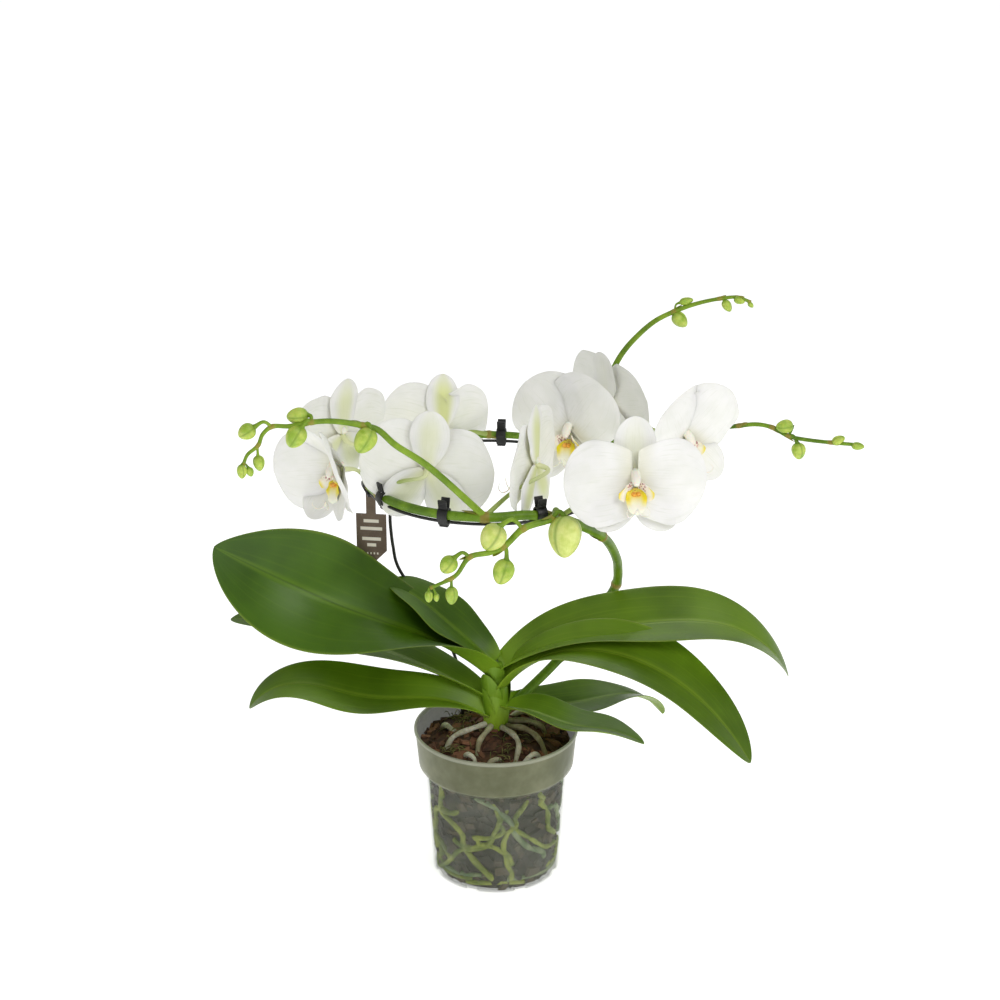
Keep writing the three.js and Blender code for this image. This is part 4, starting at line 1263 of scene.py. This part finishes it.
def tagLook():
    # brown board with pale generic bars and a row of dots in place of print
    sheet = Look("tagCard")
    u, v = sheet.uv()
    fibre = sheet.noise(900.0, 4.0, 0.7)
    cloud = sheet.noise(60.0, 3.0)
    board = sheet.mix(cloud.between(0.3, 0.7), (92, 78, 64), (108, 93, 78))
    board = sheet.mix(fibre.between(0.5, 0.75) * 0.35, board, (140, 124, 104))
    ink = 0.0
    for middle, share in tag["bars"]:
        row = 1 - abs(v - middle).between(0.03, 0.038)
        ink = ink + row * (1 - abs(u - 0.5).between(share / 2 - 0.01, share / 2 + 0.01))
    dots = (u * fullTurn * tag["dots"]).sine().between(0.1, 0.4) * (1 - abs(v - 0.84).between(0.016, 0.026))
    ink = ink + dots * (1 - abs(u - 0.5).between(0.27, 0.29))
    return sheet.finish(colour=sheet.mix(ink, board, (226, 220, 204)), roughness=0.72 + 0.15 * fibre,
                        normal=sheet.bump(fibre * 0.6 + ink * 0.2, 0.15 * mm, 0.6))


def makeTag():
    w, h, cut, strap = tag["width"] / 2, tag["height"], tag["cut"], tag["strap"] / 2
    outline = [(-w, 0), (-w, -h + cut), (-w + cut, -h), (w - cut, -h), (w, -h + cut), (w, 0), (strap, 0),
               (strap, tag["drop"] + strap), (-strap, tag["drop"] + strap), (-strap, 0)]
    work = bmesh.new()
    uv = work.loops.layers.uv.new("UVMap")
    face = work.faces.new([work.verts.new((x, 0, z)) for x, z in outline])
    made = bmesh.ops.extrude_face_region(work, geom=[face])
    front = [item for item in made["geom"] if isinstance(item, bmesh.types.BMVert)]
    bmesh.ops.translate(work, verts=front, vec=(0, -tag["thick"], 0))
    bmesh.ops.translate(work, verts=work.verts, vec=(0, tag["thick"] / 2, 0))
    bmesh.ops.recalc_face_normals(work, faces=work.faces)
    for face in work.faces:
        for loop in face.loops:
            loop[uv].uv = (loop.vert.co.x / (2 * w) + 0.5, -loop.vert.co.z / h)
    bmesh.ops.bevel(work, geom=work.edges[:], offset=0.15 * mm, segments=2, affect="EDGES")
    corner = onHoop(hoopCentre, tag["spot"]) - np.array((0, 0, tag["drop"]))
    work.transform(Matrix.Translation(corner.tolist()) @ Matrix.Rotation(math.radians(tag["turn"]), 4, "Z"))
    mesh = closeWork(work, bpy.data.meshes.new("hang_tag_fine"), [tagLook()])
    settle(addObject("hang_tag_fine", mesh), "hang_tag")


makeClips()
makeTag()
print("clips and tag made")


# Flowers

flower = {
    "petal": {"length": 46 * mm, "width": 58 * mm, "widest": 0.5, "foot": 0.7, "taper": 1.7, "fold": (10, -6),
              "blunt": 0.5, "rise": (12, 0, -14), "wave": 1.5 * mm, "rows": 30, "cols": 22},
    "sepal": {"length": 40 * mm, "width": 28 * mm, "widest": 0.55, "foot": 0.3, "taper": 2, "fold": (10, 6),
              "blunt": 0.55, "rise": (2, 0, 4), "wave": 0.7 * mm, "rows": 26, "cols": 14},
    "thickness": 0.8 * mm, "sepalDrop": 3 * mm, "heart": 1.5 * mm,
    "column": 2.9 * mm, "columnRoute": [(0, 2, -4.5), (0, 5, 1), (0, 3, 5), (0, -2.5, 9)],
    "columnShares": (0.6, 0.8, 0.95, 1.0, 1.05, 1.0, 0.55),
    "stalk": 1.4 * mm, "stalkShares": (1.5, 1.05, 0.95, 1, 1.15, 1.25), "stalkBack": (0, -3, -11),
    "tepals": ((8, "petal"), (172, "petal"), (90, "sepal"), (-52, "sepal"), (-128, "sepal")),
}


def petalLook():
    sheet = Look("petalSkin")
    s, v = sheet.uv()
    side = abs(v - 0.5) * 2
    flush = sheet.mark("tone")
    vein = sheet.noise(1.0, 3.0, 0.6, sheet.join(s * 2.2, v * 40, flush * 9))
    cloud = sheet.noise(70.0, 3.0)
    sparkle = sheet.noise(1500.0, 2.0)
    skin = sheet.mix(cloud.between(0.3, 0.7), (247, 246, 242), (240, 240, 234))
    skin = sheet.mix(vein.between(0.5, 0.72) * 0.4, skin, (222, 224, 210))
    skin = sheet.mix((1 - s.between(0.0, 0.3)) * 0.45, skin, (236, 234, 196))
    green = flush * (1 - side.between(0.15, 0.85)) * (1 - s.between(0.55, 1.0) * 0.6)
    skin = sheet.mix(green * 0.8, skin, (214, 222, 126))
    return sheet.finish(colour=skin, roughness=0.46 + 0.12 * cloud, specular=0.35, sheen=0.06, flesh=0.3,
                        fleshDepth=3 * mm, fleshTint=(1.0, 1.0, 0.8),
                        normal=sheet.bump(vein * 0.8 + cloud * 0.5 + sparkle * 0.06, 0.35 * mm, 0.5))


def fleshLook():
    # the column, the tendrils and the inside of the throat
    sheet = Look("columnFlesh")
    cloud = sheet.noise(240.0, 3.0)
    blush = sheet.noise(420.0, 2.0).between(0.6, 0.72)
    skin = sheet.mix(cloud, (250, 247, 240), (240, 236, 214))
    return sheet.finish(colour=sheet.mix(blush * 0.08, skin, (214, 150, 170)), roughness=0.4 + 0.1 * cloud,
                        flesh=0.3, fleshDepth=2 * mm, normal=sheet.bump(cloud, 0.2 * mm, 0.4))


def stalkLook():
    sheet = Look("stalkSkin")
    cloud = sheet.noise(120.0, 3.0)
    share = sheet.uv()[0]
    skin = sheet.mix(share.between(0.0, 0.7), (232, 234, 190), (150, 172, 84))
    return sheet.finish(colour=sheet.mix(cloud * 0.35, skin, (196, 206, 120)), roughness=0.42 + 0.1 * cloud,
                        normal=sheet.bump(cloud, 0.2 * mm, 0.4))


def lobeLook():
    # white flaps with yellow edges and red-purple speckles low down
    sheet = Look("lipLobe")
    s = sheet.uv()[0]
    cloud = sheet.noise(260.0, 2.0)
    skin = sheet.mix(cloud, (250, 247, 240), (244, 238, 220))
    skin = sheet.mix(s.between(0.7, 1.0) * sheet.mark("tone"), skin, (240, 222, 40))
    speck = (1 - sheet.cells(620.0).between(0.36, 0.52)) * s.between(0.02, 0.1) * (1 - s.between(0.35, 0.6))
    return sheet.finish(colour=sheet.mix(speck * 0.85, skin, (150, 44, 84)), roughness=0.42 + 0.1 * cloud,
                        flesh=0.2, fleshDepth=1.5 * mm, normal=sheet.bump(cloud, 0.25 * mm, 0.4))


def tongueLook():
    sheet = Look("lipTongue")
    s, v = sheet.uv()
    side = abs(v - 0.5) * 2
    cloud = sheet.noise(260.0, 2.0)
    skin = sheet.mix(s.between(0.25, 0.75), (244, 224, 96), (250, 247, 226))
    skin = sheet.mix(side.between(0.3, 0.75) * (1 - s.between(0.45, 0.8)), skin, (240, 220, 30))
    speck = (1 - sheet.cells(820.0).between(0.24, 0.4)) * (1 - s.between(0.1, 0.28))
    return sheet.finish(colour=sheet.mix(speck * 0.8, skin, (168, 62, 48)), roughness=0.4 + 0.1 * cloud,
                        flesh=0.2, fleshDepth=1.5 * mm, normal=sheet.bump(cloud, 0.25 * mm, 0.5))


def callusLook():
    sheet = Look("lipCallus")
    speck = 1 - sheet.cells(900.0).between(0.2, 0.4)
    cloud = sheet.noise(300.0, 2.0)
    skin = sheet.mix(cloud, (238, 160, 50), (244, 190, 84))
    return sheet.finish(colour=sheet.mix(speck * 0.75, skin, (178, 66, 40)), roughness=0.35 + 0.1 * cloud,
                        flesh=0.15, fleshDepth=1 * mm, normal=sheet.bump(cloud, 0.2 * mm, 0.5))


def bloomMatrix(bloom):
    # drawn facing +Z with the back sepal up +Y, then turned to face where it looks
    faces, tilt = math.radians(bloom["faces"]), math.radians(bloom["tilt"])
    forward = Vector((math.cos(tilt) * math.cos(faces), math.cos(tilt) * math.sin(faces), math.sin(tilt)))
    right = Vector((0, 0, 1)).cross(forward).normalized()
    turn = Matrix((right, forward.cross(right), forward)).transposed().to_4x4()
    spin = Matrix.Rotation(math.radians(bloom["spin"]), 4, "Z")
    return Matrix.Translation(fromStem(bloom["place"]).tolist()) @ turn @ spin


def makeFlower(k, bloom, looks):
    draw = np.random.default_rng(40 + k)
    matrix = bloomMatrix(bloom)
    build = Build()
    for heading, kind in flower["tepals"]:
        lift = bloom["lift"] if kind == "petal" else 0
        heading += math.copysign(1, 90 - heading) * lift + draw.uniform(-2, 2)
        turn = math.radians(heading)
        tepal = flower[kind]
        drop = 0 if kind == "petal" else -flower["sepalDrop"]
        shape = {
            **tepal, "heading": (heading, heading),
            "base": (flower["heart"] * math.cos(turn), flower["heart"] * math.sin(turn), drop),
            "rise": [angle + bloom["spread"] + draw.uniform(-3, 3) for angle in tepal["rise"]],
            "roll": (0, draw.uniform(-5, 5)), "thickness": flower["thickness"], "phase": draw.uniform(0, 1),
            "waves": draw.uniform(1.4, 2.2), "soft": 0.2,
        }
        flush = bloom["flush"] if kind == "sepal" else 0.12 * bloom["flush"]
        addBlade(build, shape, tepal["rows"], tepal["cols"], 0, flush, matrix)
    column = curveThrough(np.array(flower["columnRoute"]) * mm, 0.6 * mm)
    columnGirth = flower["column"] * along(flower["columnShares"], np.linspace(0, 1, len(column)))
    foot = pointOn(stemPath, bloom["foot"])
    behind = moved(matrix, np.array(flower["stalkBack"]) * mm)
    middle = behind * 0.45 + foot * 0.55 + (0, 0, 3 * mm)
    stalk = curveThrough([moved(matrix, (0, 0, -mm)), behind, middle, foot])
    stalkGirth = flower["stalk"] * along(flower["stalkShares"], np.linspace(0, 1, len(stalk)))
    addTubes(build, [(moved(matrix, column), columnGirth)], 16, 1)
    addTubes(build, [(stalk, stalkGirth)], 12, 2)
    settle(build.finish(f"flower_{k + 1}_fine", looks), f"flower_{k + 1}")


# in a lobe, a tendril and a callus, the sideways values and angles are for the right one and are mirrored
lip = {
    "tongue": {"base": np.array((0, -5.5, 1.5)) * mm, "heading": (-90, -90), "rise": (50, 30, -10),
               "roll": (0, 0), "length": 19 * mm, "width": 14 * mm, "widest": 0.42, "foot": 0.5,
               "fold": (24, 4), "blunt": 0.5, "thickness": 1.1 * mm, "wave": 0.7 * mm,
               "rows": 22, "cols": 14},
    "lobe": {"rise": (42, 34, 40), "length": 12.5 * mm, "width": 12.5 * mm, "widest": 0.58, "foot": 0.6,
             "fold": (0, 0), "cup": 0.25, "blunt": 0.5, "thickness": 0.9 * mm, "wave": 0.4 * mm,
             "rows": 16, "cols": 14},
    "lobeBase": (2, -4.5, 2.5), "lobeTurn": (58, 72, 92), "lobeRoll": (20, 34),
    "tendril": [(0, -17, 15.5), (2.5, -20.5, 17), (6, -21, 20), (7.5, -17.5, 22), (5.5, -14.5, 21.5)],
    "tendrilGirth": 0.55 * mm, "callus": (1.4, -8.6, 6.2), "callusAxis": (0.2, 0.3, 1),
    "callusLength": 5 * mm, "callusWidth": 3.4 * mm,
}


def makeLip(k, bloom, looks):
    draw = np.random.default_rng(80 + k)
    matrix = bloomMatrix(bloom)
    build = Build()
    tongue, lobe = lip["tongue"], lip["lobe"]
    addBlade(build, {**tongue, "phase": draw.uniform(0, 1)}, tongue["rows"], tongue["cols"], 1, 0, matrix)
    for side in (-1, 1):
        mirror = np.array((side, 1, 1))
        shape = {**lobe, "base": np.array(lip["lobeBase"]) * mirror * mm, "phase": draw.uniform(0, 1),
                 "heading": [-90 + side * angle for angle in lip["lobeTurn"]],
                 "roll": [side * angle for angle in lip["lobeRoll"]]}
        addBlade(build, shape, lobe["rows"], lobe["cols"], 0, 1.0, matrix)
        path = moved(matrix, curveThrough(np.array(lip["tendril"]) * mirror * mm, 0.7 * mm))
        addTubes(build, [(path, lip["tendrilGirth"] * np.linspace(1, 0.35, len(path)))], 8, 3)
        spot = moved(matrix, np.array(lip["callus"]) * mirror * mm)
        axis = matrix.to_3x3() @ Vector(lip["callusAxis"] * mirror)
        addBud(build, spot, axis, lip["callusLength"], lip["callusWidth"], 2)
    settle(build.finish(f"flower_{k + 1}_lip_fine", looks), f"flower_{k + 1}_lip")


flesh = fleshLook()
flowerLooks = [petalLook(), flesh, stalkLook()]
lipLooks = [lobeLook(), tongueLook(), callusLook(), flesh]
for k, bloom in enumerate(blooms):
    makeFlower(k, bloom, flowerLooks)
    makeLip(k, bloom, lipLooks)
print("flowers made")
